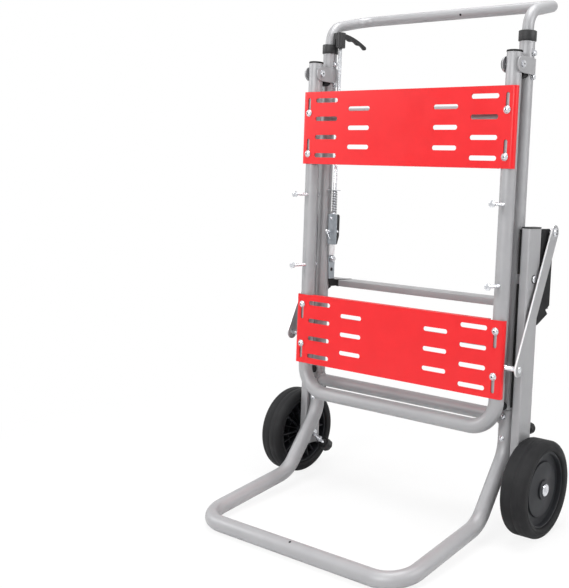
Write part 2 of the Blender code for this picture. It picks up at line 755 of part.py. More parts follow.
def build_rod_guide():
    """The thin bar on the left leg that guides the rod and holds the spring's upper end."""
    low = (-HALF_TRACK + TUBE_RADIUS / 2, -GUIDE_WIDTH / 2)
    high = (ROD_X + GUIDE_REACH, GUIDE_WIDTH / 2)
    hole = circle((ROD_X, 0), ROD_DIAMETER / 2 + RUNNING_GAP)
    guide = sheet("rod_guide", [rounded_box(low, high, HOUSING_EDGE_RADIUS), hole], GUIDE_THICKNESS)
    place(guide, root, (0, 0, GUIDE_Z))
    combine(guide, leg_cutter("guide_seat", OVERRUN * 2, GUIDE_Z), "DIFFERENCE")
    return finish(guide, "rod_guide", "zinc")


def build_trigger_rod():
    """The lock rod, with the washer that presses on its spring."""
    rod = ROD_DIAMETER / 2
    washer = ROD_WASHER_DIAMETER / 2
    seat = HOUSING_TOP_Z + SEAT_GAP
    tip = rod / 4
    profile = [
        (0, ROD_TOP_Z),
        (rod, ROD_TOP_Z),
        (rod, seat + ROD_WASHER_HEIGHT),
        (washer, seat + ROD_WASHER_HEIGHT),
        (washer, seat),
        (rod, seat),
        (rod, ROD_TIP_Z + tip),
        (rod - tip, ROD_TIP_Z),
        (0, ROD_TIP_Z),
    ]
    shape = place(turned("trigger_rod", profile, SMALL_SIDES), rod_pivot, (ROD_X, 0, 0))
    return finish(shape, "trigger_rod", "zinc")


def build_lock_spring():
    """The helical spring between the rod's washer and the guide."""
    low = HOUSING_TOP_Z + ROD_WASHER_HEIGHT + SEAT_GAP * 2 + SPRING_WIRE / 2
    high = GUIDE_Z - GUIDE_THICKNESS / 2 - SEAT_GAP - SPRING_WIRE / 2
    count = SPRING_TURNS * SPRING_POINTS_PER_TURN
    radius = SPRING_MEAN_DIAMETER / 2
    points = []
    for i in range(count + 1):
        angle = 2 * pi * i / SPRING_POINTS_PER_TURN
        height = low + (high - low) * i / count
        points.append(Vector((radius * cos(angle), radius * sin(angle), height)))
    turn = SPRING_POINTS_PER_TURN
    pairs = [(i, j) for i in range(count + 1) for j in range(i + turn - 2, count + 1)]
    gap = min((points[i] - points[j]).length for i, j in pairs)
    print("lock_spring: least gap between turns %.2f mm" % ((gap - SPRING_WIRE) / 0.001))
    spring = place(wire("lock_spring", points, SPRING_WIRE / 2, 1), root, (ROD_X, 0, 0))
    return finish(spring, "lock_spring", "zinc")


def build_trigger_head():
    """The ribbed trigger body beside the handle, standing on the collar by a short arm."""
    height = TRIGGER_TOP_Z - TRIGGER_BOTTOM_Z
    middle = (TRIGGER_TOP_Z + TRIGGER_BOTTOM_Z) / 2
    steps = TRIGGER_RIB_COUNT * 4
    outline = []
    for i in range(steps):
        angle = 2 * pi * i / steps
        radius = TRIGGER_DIAMETER / 2 - TRIGGER_RIB_HEIGHT * (1 - cos(TRIGGER_RIB_COUNT * angle)) / 2
        outline.append((radius * cos(angle), radius * sin(angle)))
    body = place(sheet("trigger_head", [outline], height), root, (ROD_X, 0, middle))
    foot_x = -HALF_TRACK + HANDLE_RADIUS + SEAT_GAP * 4
    foot_z = COLLAR_TOP_Z + SEAT_GAP
    body_x = ROD_X - LEVER_THICKNESS / 2 - SEAT_GAP * 4
    arm = [
        (foot_x, foot_z),
        (foot_x + TRIGGER_ARM_THICKNESS, foot_z),
        (foot_x + TRIGGER_ARM_THICKNESS, TRIGGER_BRIDGE_Z),
        (body_x, TRIGGER_BRIDGE_Z),
        (body_x, TRIGGER_TOP_Z - SEAT_GAP),
        (foot_x, TRIGGER_TOP_Z - SEAT_GAP),
    ]
    combine(body, place(sheet("trigger_arm", [arm], TRIGGER_ARM_WIDTH), root, turn=FACING_FRONT), "UNION")
    slot_width = LEVER_THICKNESS + RUNNING_GAP * 2
    slot_length = TRIGGER_DIAMETER + OVERRUN
    slot_height = TRIGGER_TOP_Z - TRIGGER_SLOT_BOTTOM_Z + OVERRUN
    tool = box("trigger_slot", (slot_width, slot_length, slot_height))
    slot_y = TRIGGER_SLOT_FRONT_Y + slot_length / 2
    slot_z = TRIGGER_SLOT_BOTTOM_Z + slot_height / 2
    combine(body, place(tool, root, (ROD_X, slot_y, slot_z)), "DIFFERENCE")
    depth = ROD_TOP_Z + ROD_LIFT + SEAT_GAP * 4 - TRIGGER_BOTTOM_Z
    bore_z = TRIGGER_BOTTOM_Z + (depth - OVERRUN) / 2
    bore(body, root, (ROD_X, 0, bore_z), UPRIGHT, ROD_DIAMETER / 2 + RUNNING_GAP, depth + OVERRUN)
    return finish(body, "trigger_head", "black_plastic")


def build_trigger_lever():
    """The drooping trigger lever with finger grooves along its underside."""
    steps = 24
    start = LEVER_ROOT_DEPTH / 2
    top, bottom = [], []
    for i in range(steps + 1):
        share = i / steps
        y = share * (LEVER_LENGTH - start)
        z = start - LEVER_DROOP * share ** 2
        depth = LEVER_ROOT_DEPTH + (LEVER_TIP_DEPTH - LEVER_ROOT_DEPTH) * share
        groove = LEVER_GROOVE_DEPTH * (1 - cos(2 * pi * LEVER_GROOVE_COUNT * share)) / 2
        top.append((y, z))
        bottom.append((y, z - depth + groove))
    tip_z = (top[-1][1] + bottom[-1][1]) / 2
    tip = arc((top[-1][0], tip_z), LEVER_TIP_DEPTH / 2, pi / 2, -pi / 2, 6)
    eye = arc((0, 0), start, 3 * pi / 2, pi / 2, 8)
    outline = eye[:-1] + top[:-1] + tip + bottom[:0:-1][1:]
    at = (ROD_X, LEVER_PIVOT_Y, LEVER_PIVOT_Z)
    lever = place(sheet("trigger_lever", [outline], LEVER_THICKNESS), lever_pivot, at, SIDEWAYS)
    return finish(lever, "trigger_lever", "black_plastic")


def build_table_frame():
    """The U-shaped table frame, bored for its hinge pins and the saw bolts."""
    half = [(HALF_TRACK, TABLE_Y, TABLE_TOP_Z), (HALF_TRACK, TABLE_Y, TABLE_BAR_Z)]
    corners = [(-x, y, z) for x, y, z in half] + half[::-1]
    path = bent_path(corners, [TABLE_CORNER_RADIUS] * 2)
    path = [point - pivot_places["table_hinge"] for point in path]
    frame = place(pipe("table_frame", path, TUBE_RADIUS, TUBE_WALL), table, pivot_places["table_hinge"])
    length = TUBE_DIAMETER + OVERRUN
    for side in (-1, 1):
        x = side * HALF_TRACK
        bore(frame, table, (x, TABLE_Y, HINGE_Z), ALONG_X, PIN_BORE_RADIUS, length)
        for height in SAW_BOLT_HEIGHTS:
            radius = SAW_BOLT_DIAMETER / 2 + SEAT_GAP
            bore(frame, table, (x, TABLE_Y, height), ALONG_MINUS_Y, radius, length)
    return finish(frame, "table_frame", "tube_silver")


def build_table_cap(side):
    """The plastic cap plugged into an upper end of the table frame."""
    outer = TUBE_RADIUS + SEAT_GAP
    plug = TUBE_RADIUS - TUBE_WALL - CAP_PLUG_CLEARANCE
    profile = [
        (0, CAP_THICKNESS),
        (outer - CAP_THICKNESS / 3, CAP_THICKNESS),
        (outer, CAP_THICKNESS * 2 / 3),
        (outer, SEAT_GAP),
        (plug, SEAT_GAP),
        (plug, -CAP_PLUG_DEPTH),
        (0, -CAP_PLUG_DEPTH),
    ]
    cap = place(turned("table_cap", profile), table, (side * HALF_TRACK, TABLE_Y, TABLE_TOP_Z))
    return finish(cap, "table_cap_" + side_name(side), "black_plastic")


def build_saw_bolt(side, number, height):
    """A long bolt through the table frame that the saw's base is fixed with."""
    shank = SAW_BOLT_DIAMETER / 2
    head = SAW_BOLT_HEAD_DIAMETER / 2
    nut = SAW_BOLT_NUT_DIAMETER / 2
    tip = TUBE_RADIUS + SAW_BOLT_STAND
    seat = TUBE_RADIUS + SEAT_GAP
    edge = SAW_BOLT_HEAD_HEIGHT / 6
    profile = [
        (0, tip),
        (head - edge, tip),
        (head, tip - edge),
        (head, tip - SAW_BOLT_HEAD_HEIGHT),
        (shank, tip - SAW_BOLT_HEAD_HEIGHT),
        (shank, -seat),
        (nut, -seat),
        (nut, -seat - SAW_BOLT_NUT_HEIGHT),
        (0, -seat - SAW_BOLT_NUT_HEIGHT),
    ]
    at = (side * HALF_TRACK, TABLE_Y, height)
    bolt = place(turned("saw_bolt", profile, SMALL_SIDES), table, at, ALONG_MINUS_Y)
    return finish(bolt, "saw_bolt_%s_%d" % (side_name(side), number), "zinc")


def build_strut_stud(side):
    """The stud on the side of the table frame that a strut turns on."""
    base = TUBE_RADIUS + SEAT_GAP
    shoulder = STRUT_INNER_OFFSET - SEAT_GAP
    end = STRUT_OUTER_OFFSET + SEAT_GAP
    stud = STUD_DIAMETER / 2
    neck = STUD_NECK_DIAMETER / 2
    head = STUD_HEAD_DIAMETER / 2
    profile = [
        (0, end + PIN_HEAD_HEIGHT),
        (head, end + PIN_HEAD_HEIGHT),
        (head, end),
        (neck, end),
        (neck, shoulder),
        (stud, shoulder),
        (stud, base),
        (0, base),
    ]
    at = (side * HALF_TRACK, TABLE_Y, STRUT_FOOT_Z)
    turn = ALONG_X if side > 0 else ALONG_MINUS_X
    piece = place(turned("strut_stud", profile, SMALL_SIDES), table, at, turn)
    return finish(piece, "strut_stud_" + side_name(side), "zinc")


def panel_slots(name, pivot, low, tall, clamp_heights, clamp_side):
    """One cutter with every slot of a panel; the clamp slots run up or down from their bolts."""
    middle = low + tall / 2
    loops = []
    for side in (-1, 1):
        for i in range(OUTER_SLOT_COUNT):
            z = middle + (i - (OUTER_SLOT_COUNT - 1) / 2) * OUTER_SLOT_PITCH
            half = (OUTER_SLOT_LENGTH - PANEL_SLOT_WIDTH) / 2
            x = side * OUTER_SLOT_X
            loops.append(capsule((x - half, z), (x + half, z), PANEL_SLOT_WIDTH / 2, 4))
        for i in range(INNER_SLOT_COUNT):
            z = middle + (i - (INNER_SLOT_COUNT - 1) / 2) * INNER_SLOT_PITCH
            half = (INNER_SLOT_LENGTH - PANEL_SLOT_WIDTH) / 2
            x = side * INNER_SLOT_X
            loops.append(capsule((x - half, z), (x + half, z), PANEL_SLOT_WIDTH / 2, 4))
        for height in clamp_heights:
            x = side * HALF_TRACK
            near = low + height
            far = near + clamp_side * (CLAMP_SLOT_LENGTH - CLAMP_SLOT_WIDTH)
            ends = sorted((near, far))
            loops.append(capsule((x, ends[0]), (x, ends[1]), CLAMP_SLOT_WIDTH / 2, 4))
    tool = sheet(name, loops, PANEL_SHEET + OVERRUN)
    return place(tool, pivot, (0, (PANEL_FRONT_Y + PANEL_REAR_Y) / 2, 0), FACING_FRONT)


def build_panel(name, pivot, low, tall, clamp_heights, clamp_side):
    """A slotted sheet panel: flanged back along the tubes at its ends, lipped above and below."""
    width = HALF_TRACK + PANEL_OVERHANG
    inner = PANEL_BEND_RADIUS - PANEL_SHEET
    bend_x = width - PANEL_BEND_RADIUS
    bend_y = PANEL_FRONT_Y + PANEL_BEND_RADIUS
    outer_side = [(width, PANEL_FLANGE_REAR_Y)] + arc((bend_x, bend_y), PANEL_BEND_RADIUS, 0, -pi / 2, 5)
    inner_side = [(width - PANEL_SHEET, PANEL_FLANGE_REAR_Y)] + arc((bend_x, bend_y), inner, 0, -pi / 2, 5)
    outline = outer_side + [(-x, y) for x, y in outer_side[::-1]]
    outline += [(-x, y) for x, y in inner_side] + inner_side[::-1]
    panel = place(sheet(name, [outline], tall), pivot, (0, 0, low + tall / 2))
    lip_width = 2 * (HALF_TRACK - TUBE_RADIUS - PANEL_LIP_DEPTH / 3)
    lip_y = PANEL_FRONT_Y + PANEL_SHEET / 2 + PANEL_LIP_DEPTH / 2
    for z in (low + PANEL_SHEET / 2, low + tall - PANEL_SHEET / 2):
        lip = box(name + "_lip", (lip_width, PANEL_LIP_DEPTH, PANEL_SHEET))
        combine(panel, place(lip, pivot, (0, lip_y, z)), "UNION")
    combine(panel, panel_slots(name + "_slots", pivot, low, tall, clamp_heights, clamp_side), "DIFFERENCE")
    return finish(panel, name, "panel_red")


def build_strut(side):
    """A flat strut with round ends; its upper bolt belongs to it."""
    foot = (TABLE_Y, STRUT_FOOT_Z)
    head = (STRUT_HEAD_Y, STRUT_HEAD_Z)
    pivot_name = "strut_hinge_" + side_name(side)
    x = side * (HALF_TRACK + STRUT_INNER_OFFSET + STRUT_THICKNESS / 2)
    pivot = add_pivot(pivot_name, (x, TABLE_Y, STRUT_FOOT_Z), table)
    hole = circle(foot, STUD_NECK_DIAMETER / 2 + RUNNING_GAP)
    strut = place(sheet("strut", [capsule(foot, head, STRUT_WIDTH / 2), hole], STRUT_THICKNESS),
                  pivot, (x, 0, 0), SIDEWAYS)
    bolt_length = STRUT_BOLT_HEIGHT + STRUT_THICKNESS / 2
    bolt = cylinder("strut_bolt", STRUT_BOLT_DIAMETER / 2, bolt_length, SMALL_SIDES)
    bolt_x = side * (HALF_TRACK + STRUT_OUTER_OFFSET + (STRUT_BOLT_HEIGHT - STRUT_THICKNESS / 2) / 2)
    combine(strut, place(bolt, pivot, (bolt_x, STRUT_HEAD_Y, STRUT_HEAD_Z), ALONG_X), "UNION")
    return finish(strut, "strut_" + side_name(side), "tube_silver")


def build_wheel_arm(side):
    """A rectangular tube arm of the wheel frame, bored for its pivot bolt and axle."""
    half = ARM_WIDTH / 2
    outer = rounded_box((-half, ARM_FRONT_Y), (half, ARM_REAR_Y), ARM_CORNER_RADIUS)
    inner_low = (-half + TUBE_WALL, ARM_FRONT_Y + TUBE_WALL)
    inner_high = (half - TUBE_WALL, ARM_REAR_Y - TUBE_WALL)
    inner = rounded_box(inner_low, inner_high, ARM_CORNER_RADIUS - TUBE_WALL)
    x = side * (HALF_TRACK + ARM_CENTRE_OFFSET)
    at = (x, 0, (ARM_TOP_Z + ARM_BOTTOM_Z) / 2)
    arm = place(sheet("wheel_arm", [outer, inner], ARM_TOP_Z - ARM_BOTTOM_Z), wheel_frame, at)
    length = ARM_WIDTH + OVERRUN
    bore(arm, wheel_frame, (x, PIVOT_Y, PIVOT_Z), ALONG_X, PIN_BORE_RADIUS, length)
    bore(arm, wheel_frame, (x, AXLE_Y, AXLE_Z), ALONG_X, AXLE_DIAMETER / 2 + SEAT_GAP, length)
    return finish(arm, "wheel_arm_" + side_name(side), "tube_silver")


def build_arm_cap(side):
    """The black cap on an arm's upper end, with its plug inside the tube."""
    half = ARM_WIDTH / 2
    outline = rounded_box((-half, ARM_FRONT_Y), (half, ARM_REAR_Y), ARM_CORNER_RADIUS)
    at = (side * (HALF_TRACK + ARM_CENTRE_OFFSET), 0, ARM_TOP_Z + SEAT_GAP + CAP_THICKNESS / 2)
    cap = place(sheet("arm_cap", [outline], CAP_THICKNESS), wheel_frame, at)
    shrink = TUBE_WALL + SEAT_GAP
    plug_outline = rounded_box((-half + shrink, ARM_FRONT_Y + shrink), (half - shrink, ARM_REAR_Y - shrink),
                               ARM_CORNER_RADIUS - TUBE_WALL)
    plug = sheet("arm_plug", [plug_outline], CAP_PLUG_DEPTH)
    plug_z = ARM_TOP_Z + SEAT_GAP + CAP_THICKNESS / 2 - CAP_PLUG_DEPTH / 2
    combine(cap, place(plug, wheel_frame, (at[0], 0, plug_z)), "UNION")
    return finish(cap, "arm_cap_" + side_name(side), "black_plastic")


def build_tray(side):
    """The bracket behind an arm: a sheet plate with a rim on three sides and the strut's boss."""
    front = ARM_REAR_Y + SEAT_GAP
    outline = [
        (front, TRAY_TOE_Z),
        (TRAY_HEEL_REAR_Y, TRAY_HEEL_Z),
        (TRAY_TOP_REAR_Y, TRAY_TOP_Z),
        (front, TRAY_TOP_Z),
    ]
    slope = TRAY_SHEET * (TRAY_HEEL_Z - TRAY_TOE_Z) / (TRAY_HEEL_REAR_Y - front)
    pocket = [
        (front - OVERRUN, TRAY_TOE_Z + TRAY_SHEET),
        (front, TRAY_TOE_Z + TRAY_SHEET),
        (TRAY_HEEL_REAR_Y - TRAY_SHEET, TRAY_HEEL_Z + TRAY_SHEET - slope),
        (TRAY_TOP_REAR_Y - TRAY_SHEET, TRAY_TOP_Z - TRAY_SHEET),
        (front - OVERRUN, TRAY_TOP_Z - TRAY_SHEET),
    ]
    base = HALF_TRACK + ARM_INNER_OFFSET
    tray = place(sheet("tray", [outline], TRAY_DEPTH), wheel_frame,
                 (side * (base + TRAY_DEPTH / 2), 0, 0), SIDEWAYS)
    tool = sheet("tray_pocket", [pocket], TRAY_DEPTH)
    place(tool, wheel_frame, (side * (base + TRAY_SHEET + TRAY_DEPTH / 2), 0, 0), SIDEWAYS)
    combine(tray, tool, "DIFFERENCE")
    boss_start = base + TRAY_SHEET / 2
    boss_end = HALF_TRACK + STRUT_INNER_OFFSET - SEAT_GAP
    boss = cylinder("tray_boss", BOSS_DIAMETER / 2, boss_end - boss_start, SMALL_SIDES)
    boss_x = side * (boss_start + boss_end) / 2
    combine(tray, place(boss, wheel_frame, (boss_x, STRUT_HEAD_Y, STRUT_HEAD_Z), ALONG_X), "UNION")
    return finish(tray, "tray_" + side_name(side), "tube_silver")


def build_beam():
    """The flat tube beam between the two trays, behind the legs."""
    low = (BEAM_FRONT_Y, BEAM_BOTTOM_Z)
    high = (BEAM_REAR_Y, BEAM_BOTTOM_Z + BEAM_THICKNESS)
    inner_low = (low[0] + TUBE_WALL, low[1] + TUBE_WALL)
    inner_high = (high[0] - TUBE_WALL, high[1] - TUBE_WALL)
    loops = [rounded_box(low, high, ARM_CORNER_RADIUS),
             rounded_box(inner_low, inner_high, ARM_CORNER_RADIUS - TUBE_WALL)]
    length = 2 * (HALF_TRACK + ARM_INNER_OFFSET - SEAT_GAP)
    beam = place(sheet("beam", loops, length), wheel_frame, (0, 0, 0), SIDEWAYS)
    return finish(beam, "beam", "tube_silver")


def build_stay():
    """The round stay between the two arms."""
    half = HALF_TRACK + ARM_INNER_OFFSET - SEAT_GAP
    path = [(-half, 0, 0), (half, 0, 0)]
    stay = place(pipe("stay", path, STAY_DIAMETER / 2, TUBE_WALL), wheel_frame, (0, STAY_Y, STAY_Z))
    return finish(stay, "stay", "tube_silver")


def build_lock_plate():
    """The plate on the beam that turns about the pivot bolt and meets the lock rod."""
    seat = BEAM_BOTTOM_Z + BEAM_THICKNESS + SEAT_GAP
    nose = arc((PIVOT_Y, PIVOT_Z), LOCK_PLATE_NOSE_RADIUS, 0, pi, 10)
    outline = nose + [
        (PIVOT_Y - LOCK_PLATE_NOSE_RADIUS, seat),
        (LOCK_PLATE_HEEL_Y, seat),
        (LOCK_PLATE_HEEL_Y, seat + LOCK_PLATE_HEEL_HEIGHT),
        (PIVOT_Y + LOCK_PLATE_NOSE_RADIUS, PIVOT_Z - LOCK_PLATE_NOSE_RADIUS),
    ]
    holes = [
        circle((PIVOT_Y, PIVOT_Z), PIN_BORE_RADIUS),
        circle((PIVOT_Y, PIVOT_Z - LOCK_HOLE_DROP), LOCK_HOLE_DIAMETER / 2),
    ]
    plate = place(sheet("lock_plate", [outline] + holes, LOCK_PLATE_THICKNESS), wheel_frame,
                  (LOCK_PLATE_X, 0, 0), SIDEWAYS)
    return finish(plate, "lock_plate", "zinc")


def build_pad(side):
    """The rubber pad behind an arm."""
    pad = cylinder("pad", PAD_DIAMETER / 2, PAD_THICKNESS)
    x = side * (HALF_TRACK + ARM_CENTRE_OFFSET)
    y = ARM_REAR_Y + SEAT_GAP + PAD_THICKNESS / 2
    place(pad, wheel_frame, (x, y, PAD_Z), ALONG_MINUS_Y)
    return finish(pad, "pad_" + side_name(side), "rubber_black")


def build_axle(side):
    """The axle bolt through an arm, with its cap outside the hub."""
    shank = AXLE_DIAMETER / 2
    nut = AXLE_NUT_DIAMETER / 2
    cap = AXLE_CAP_DIAMETER / 2
    arm = ARM_INNER_OFFSET - SEAT_GAP
    face = WHEEL_OFFSET + HUB_WIDTH / 2 + SEAT_GAP
    edge = AXLE_CAP_HEIGHT / 3
    profile = [
        (0, face + AXLE_CAP_HEIGHT),
        (cap - edge, face + AXLE_CAP_HEIGHT),
        (cap, face + AXLE_CAP_HEIGHT - edge),
        (cap, face),
        (shank, face),
        (shank, arm),
        (nut, arm),
        (nut, arm - AXLE_NUT_HEIGHT),
        (0, arm - AXLE_NUT_HEIGHT),
    ]
    at = (side * HALF_TRACK, AXLE_Y, AXLE_Z)
    turn = ALONG_X if side > 0 else ALONG_MINUS_X
    axle = place(turned("axle", profile), wheel_frame, at, turn)
    return finish(axle, "axle_" + side_name(side), "zinc")


def build_wheel(side):
    """A solid tyre on a moulded hub whose inner side has crossing ribs."""
    at = (side * (HALF_TRACK + WHEEL_OFFSET), AXLE_Y, AXLE_Z)
    turn = ALONG_X if side > 0 else ALONG_MINUS_X
    wheel = add_pivot("wheel_hinge_" + side_name(side), at, wheel_frame)
    outer = WHEEL_DIAMETER / 2
    half = WHEEL_WIDTH / 2
    seat = outer - TYRE_DEPTH
    shoulder = outer - TYRE_SHOULDER
    profile = [(seat, half - TYRE_SHOULDER / 4)]
    profile += [(seat + TYRE_SHOULDER / 4, half)]
    profile += arc((shoulder, half - TYRE_SHOULDER), TYRE_SHOULDER, pi / 2, 0, 4)
    profile += arc((shoulder, -half + TYRE_SHOULDER), TYRE_SHOULDER, 0, -pi / 2, 4)
    profile += [(seat + TYRE_SHOULDER / 4, -half)]
    profile += [(seat, -half + TYRE_SHOULDER / 4)]
    tyre = place(turned("tyre", profile, WHEEL_STEPS, closed=True), wheel, at, turn)
    finish(tyre, "tyre_" + side_name(side), "rubber_black")

    rim = seat - SEAT_GAP
    well = rim - HUB_RIM_WALL
    bore_radius = AXLE_DIAMETER / 2 + RUNNING_GAP
    boss = HUB_BOSS_DIAMETER / 2
    disc = seat - HUB_DISC_INSET
    face = HUB_WIDTH / 2
    web_top = face - HUB_RECESS
    disc_top = face - HUB_RECESS / 2
    web_low = web_top - HUB_WEB
    profile = [
        (bore_radius, face),
        (boss, face),
        (boss, disc_top),
        (disc - HUB_RECESS / 4, disc_top),
        (disc, web_top),
        (well - HUB_RECESS / 8, web_top),
        (well, face),
        (rim, face),
        (rim, -face),
        (well, -face),
        (well - HUB_RECESS / 8, web_low),
        (boss, web_low),
        (boss, -half),
        (bore_radius, -half),
    ]
    hub = place(turned("hub", profile, WHEEL_STEPS, closed=True), wheel, at, turn)
    rib_end = well + HUB_RIM_WALL / 2
    rib_z = web_low - HUB_RIB_DEPTH / 2 + HUB_WEB / 2
    for i in range(HUB_RIB_COUNT * 2):
        angle = pi * i / HUB_RIB_COUNT
        start = boss - HUB_RIM_WALL
        rib = box("hub_rib", (rib_end - start, HUB_RIB_WIDTH, HUB_RIB_DEPTH))
        rib.data.transform(Matrix.Translation(((rib_end + start) / 2, 0, rib_z)))
        rib.data.transform(Matrix.Rotation(angle, 4, "Z"))
        combine(hub, place(rib, wheel, at, turn), "UNION")
    return finish(hub, "hub_" + side_name(side), "hub_grey")


clear_scene()
parts = new_collection("saw_stand")
cutters = new_collection("cutters")

root = add_pivot("stand_root", (0, 0, 0), None)
table = add_pivot("table_hinge", (0, TABLE_Y, HINGE_Z), root)
wheel_frame = add_pivot("wheel_frame_hinge", (0, PIVOT_Y, PIVOT_Z), root)
upper_slide = add_pivot("upper_panel_slide", (0, PANEL_REAR_Y, UPPER_PANEL_BOTTOM_Z), table)
lower_slide = add_pivot("lower_panel_slide", (0, PANEL_REAR_Y, LOWER_PANEL_BOTTOM_Z), table)
rod_pivot = add_pivot("rod_slide", (ROD_X, 0, ROD_TIP_Z), root)
lever_pivot = add_pivot("lever_hinge", (ROD_X, LEVER_PIVOT_Y, LEVER_PIVOT_Z), root)

build_toe_loop()
build_handle()
upper_crossbar = build_crossbar("upper_crossbar", UPPER_CROSSBAR_Z, TUBE_RADIUS)
bore(upper_crossbar, root, (ROD_X, 0, UPPER_CROSSBAR_Z), UPRIGHT, ROD_DIAMETER / 2 + RUNNING_GAP,
     CROSSBAR_DIAMETER + OVERRUN)
build_crossbar("lower_crossbar", LOWER_CROSSBAR_Z, TOE_RADIUS)
build_table_frame()
build_panel("panel_upper", upper_slide, UPPER_PANEL_BOTTOM_Z, UPPER_PANEL_HEIGHT, UPPER_CLAMP_HEIGHTS, 1)
build_panel("panel_lower", lower_slide, LOWER_PANEL_BOTTOM_Z, LOWER_PANEL_HEIGHT, LOWER_CLAMP_HEIGHTS, -1)
build_beam()
build_stay()
build_lock_plate()
build_lock_housing()
build_rod_guide()
build_trigger_rod()
build_lock_spring()
build_trigger_head()
build_trigger_lever()

for side in (-1, 1):
    build_leg(side)
    build_collar(side)
    build_hinge_bracket(side)
    build_hinge_pin(side)
    build_bumper(side)
    build_foot(side)
    build_pivot_bolt(side)
    build_table_cap(side)
    for number, height in enumerate(SAW_BOLT_HEIGHTS, start=1):
        build_saw_bolt(side, number, height)
    build_strut_stud(side)
    build_strut(side)
    build_wheel_arm(side)
    build_arm_cap(side)
    build_tray(side)
    build_pad(side)
    build_axle(side)
    build_wheel(side)
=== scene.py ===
"""Folding saw stand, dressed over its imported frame: smooth tubes, wheels, panels, fasteners and finishes."""
import json
from math import atan2, cos, pi, radians, sin, sqrt, tan

import bmesh
import bpy
from mathutils import Matrix, Vector


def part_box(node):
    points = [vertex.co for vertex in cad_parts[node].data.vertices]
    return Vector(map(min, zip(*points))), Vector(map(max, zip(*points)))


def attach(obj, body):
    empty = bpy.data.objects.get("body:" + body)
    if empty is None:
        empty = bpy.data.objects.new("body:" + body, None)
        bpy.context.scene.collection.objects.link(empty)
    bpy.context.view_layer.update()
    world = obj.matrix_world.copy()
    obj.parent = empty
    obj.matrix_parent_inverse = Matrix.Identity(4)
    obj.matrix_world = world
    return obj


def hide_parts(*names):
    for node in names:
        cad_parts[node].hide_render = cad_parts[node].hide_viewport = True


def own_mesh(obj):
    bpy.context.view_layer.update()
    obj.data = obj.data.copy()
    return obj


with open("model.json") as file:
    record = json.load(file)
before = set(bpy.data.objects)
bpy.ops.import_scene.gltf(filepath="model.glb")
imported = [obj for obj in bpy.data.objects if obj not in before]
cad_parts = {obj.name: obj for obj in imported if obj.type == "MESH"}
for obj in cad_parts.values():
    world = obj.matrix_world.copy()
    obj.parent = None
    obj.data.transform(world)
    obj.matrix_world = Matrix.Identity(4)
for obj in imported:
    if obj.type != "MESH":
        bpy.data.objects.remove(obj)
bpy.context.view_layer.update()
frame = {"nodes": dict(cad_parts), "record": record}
nodes = frame["nodes"]
joints = {joint["name"]: joint for joint in frame["record"]["behaviour"]["joints"]}

# The legs' own frame, found from the joints: x across, y to the rear, z along the legs
TABLE_Y = -0.0477
HINGE_Z = 0.948
along_leg = Vector(joints["lower_panel_slide"]["axis"])
to_rear = Vector((0, along_leg.z, -along_leg.y))
hinge_place = Vector(joints["table_fold"]["pos_m"])
STAND = Matrix((
    (1, 0, 0, 0),
    (0, to_rear.y, along_leg.y, 0),
    (0, to_rear.z, along_leg.z, 0),
    (0, 0, 0, 1),
))
STAND.translation = hinge_place - to_rear * TABLE_Y - along_leg * HINGE_Z


def leg_place(name):
    """A joint's place in the legs' frame."""
    return STAND.inverted() @ Vector(joints[name]["pos_m"])


PIVOT = leg_place("wheel_frame_fold")
WHEEL = leg_place("right_wheel_spin")
STRUT_FOOT = leg_place("right_strut_swing")

# Directions, and turns that lay a flat outline on its side or upright
RIGHT = (1, 0, 0)
LEFT = (-1, 0, 0)
FRONT = (0, -1, 0)
REAR = (0, 1, 0)
UNTURNED = Matrix.Identity(4)
SIDEWAYS = Matrix(((0, 0, 1, 0), (1, 0, 0, 0), (0, 1, 0, 0), (0, 0, 0, 1)))
FACING = Matrix(((1, 0, 0, 0), (0, 0, -1, 0), (0, 1, 0, 0), (0, 0, 0, 1)))

# Fits and edges; pieces that touch are set a hair into or off each other
SEAT_GAP = 0.0003
HAIR = 0.0002
SOFT_EDGE = 0.0004
EDGE_ANGLE = radians(35)
BOLT_RADIUS = 0.004
THREAD_PITCH = 0.00125

# Tubes
HALF_TRACK = 0.2573
SIDES = ((-1, "left", -HALF_TRACK), (1, "right", HALF_TRACK))
TUBE_RADIUS = 0.016
SLIM_RADIUS = 0.0157
TOE_RADIUS = 0.0165
TOE_SLIM_RADIUS = TOE_RADIUS - 0.0001
HANDLE_RADIUS = 0.012
CROSSBAR_RADIUS = 0.014
STAY_RADIUS = 0.007
LEG_FOOT_Z = 0.2538
LEG_TOP_Z = 0.9988
TOE_TOP_Z = 0.2535
TOE_KNEE_Z = 0.164
TOE_ANKLE = (-0.0965, 0.0325)
TOE_FRONT = (-0.361, -0.00937)
TOE_BENDS = (0.070, 0.070, 0.060)
HANDLE_FOOT_Z = 0.905
HANDLE_KNEE_Z = 1.058
HANDLE_BAR = (0.125, 1.092)
HANDLE_BENDS = (0.045, 0.038)
UPPER_CROSSBAR_Z = 0.860
LOWER_CROSSBAR_Z = 0.2365
TABLE_TOP_Z = 0.9712
TABLE_BAR_Z = 0.2165
TABLE_BEND = 0.060
STAY_PLACE = (0.026, 0.378)
STAY_END = 0.0187
BEND_STEP = radians(4)
WELD_RADIUS = 0.0021
WELD_RIPPLE = 0.18
WELD_RIPPLES = 24
DRAIN_HOLE_DEPTH = (-0.002, 0.0004)

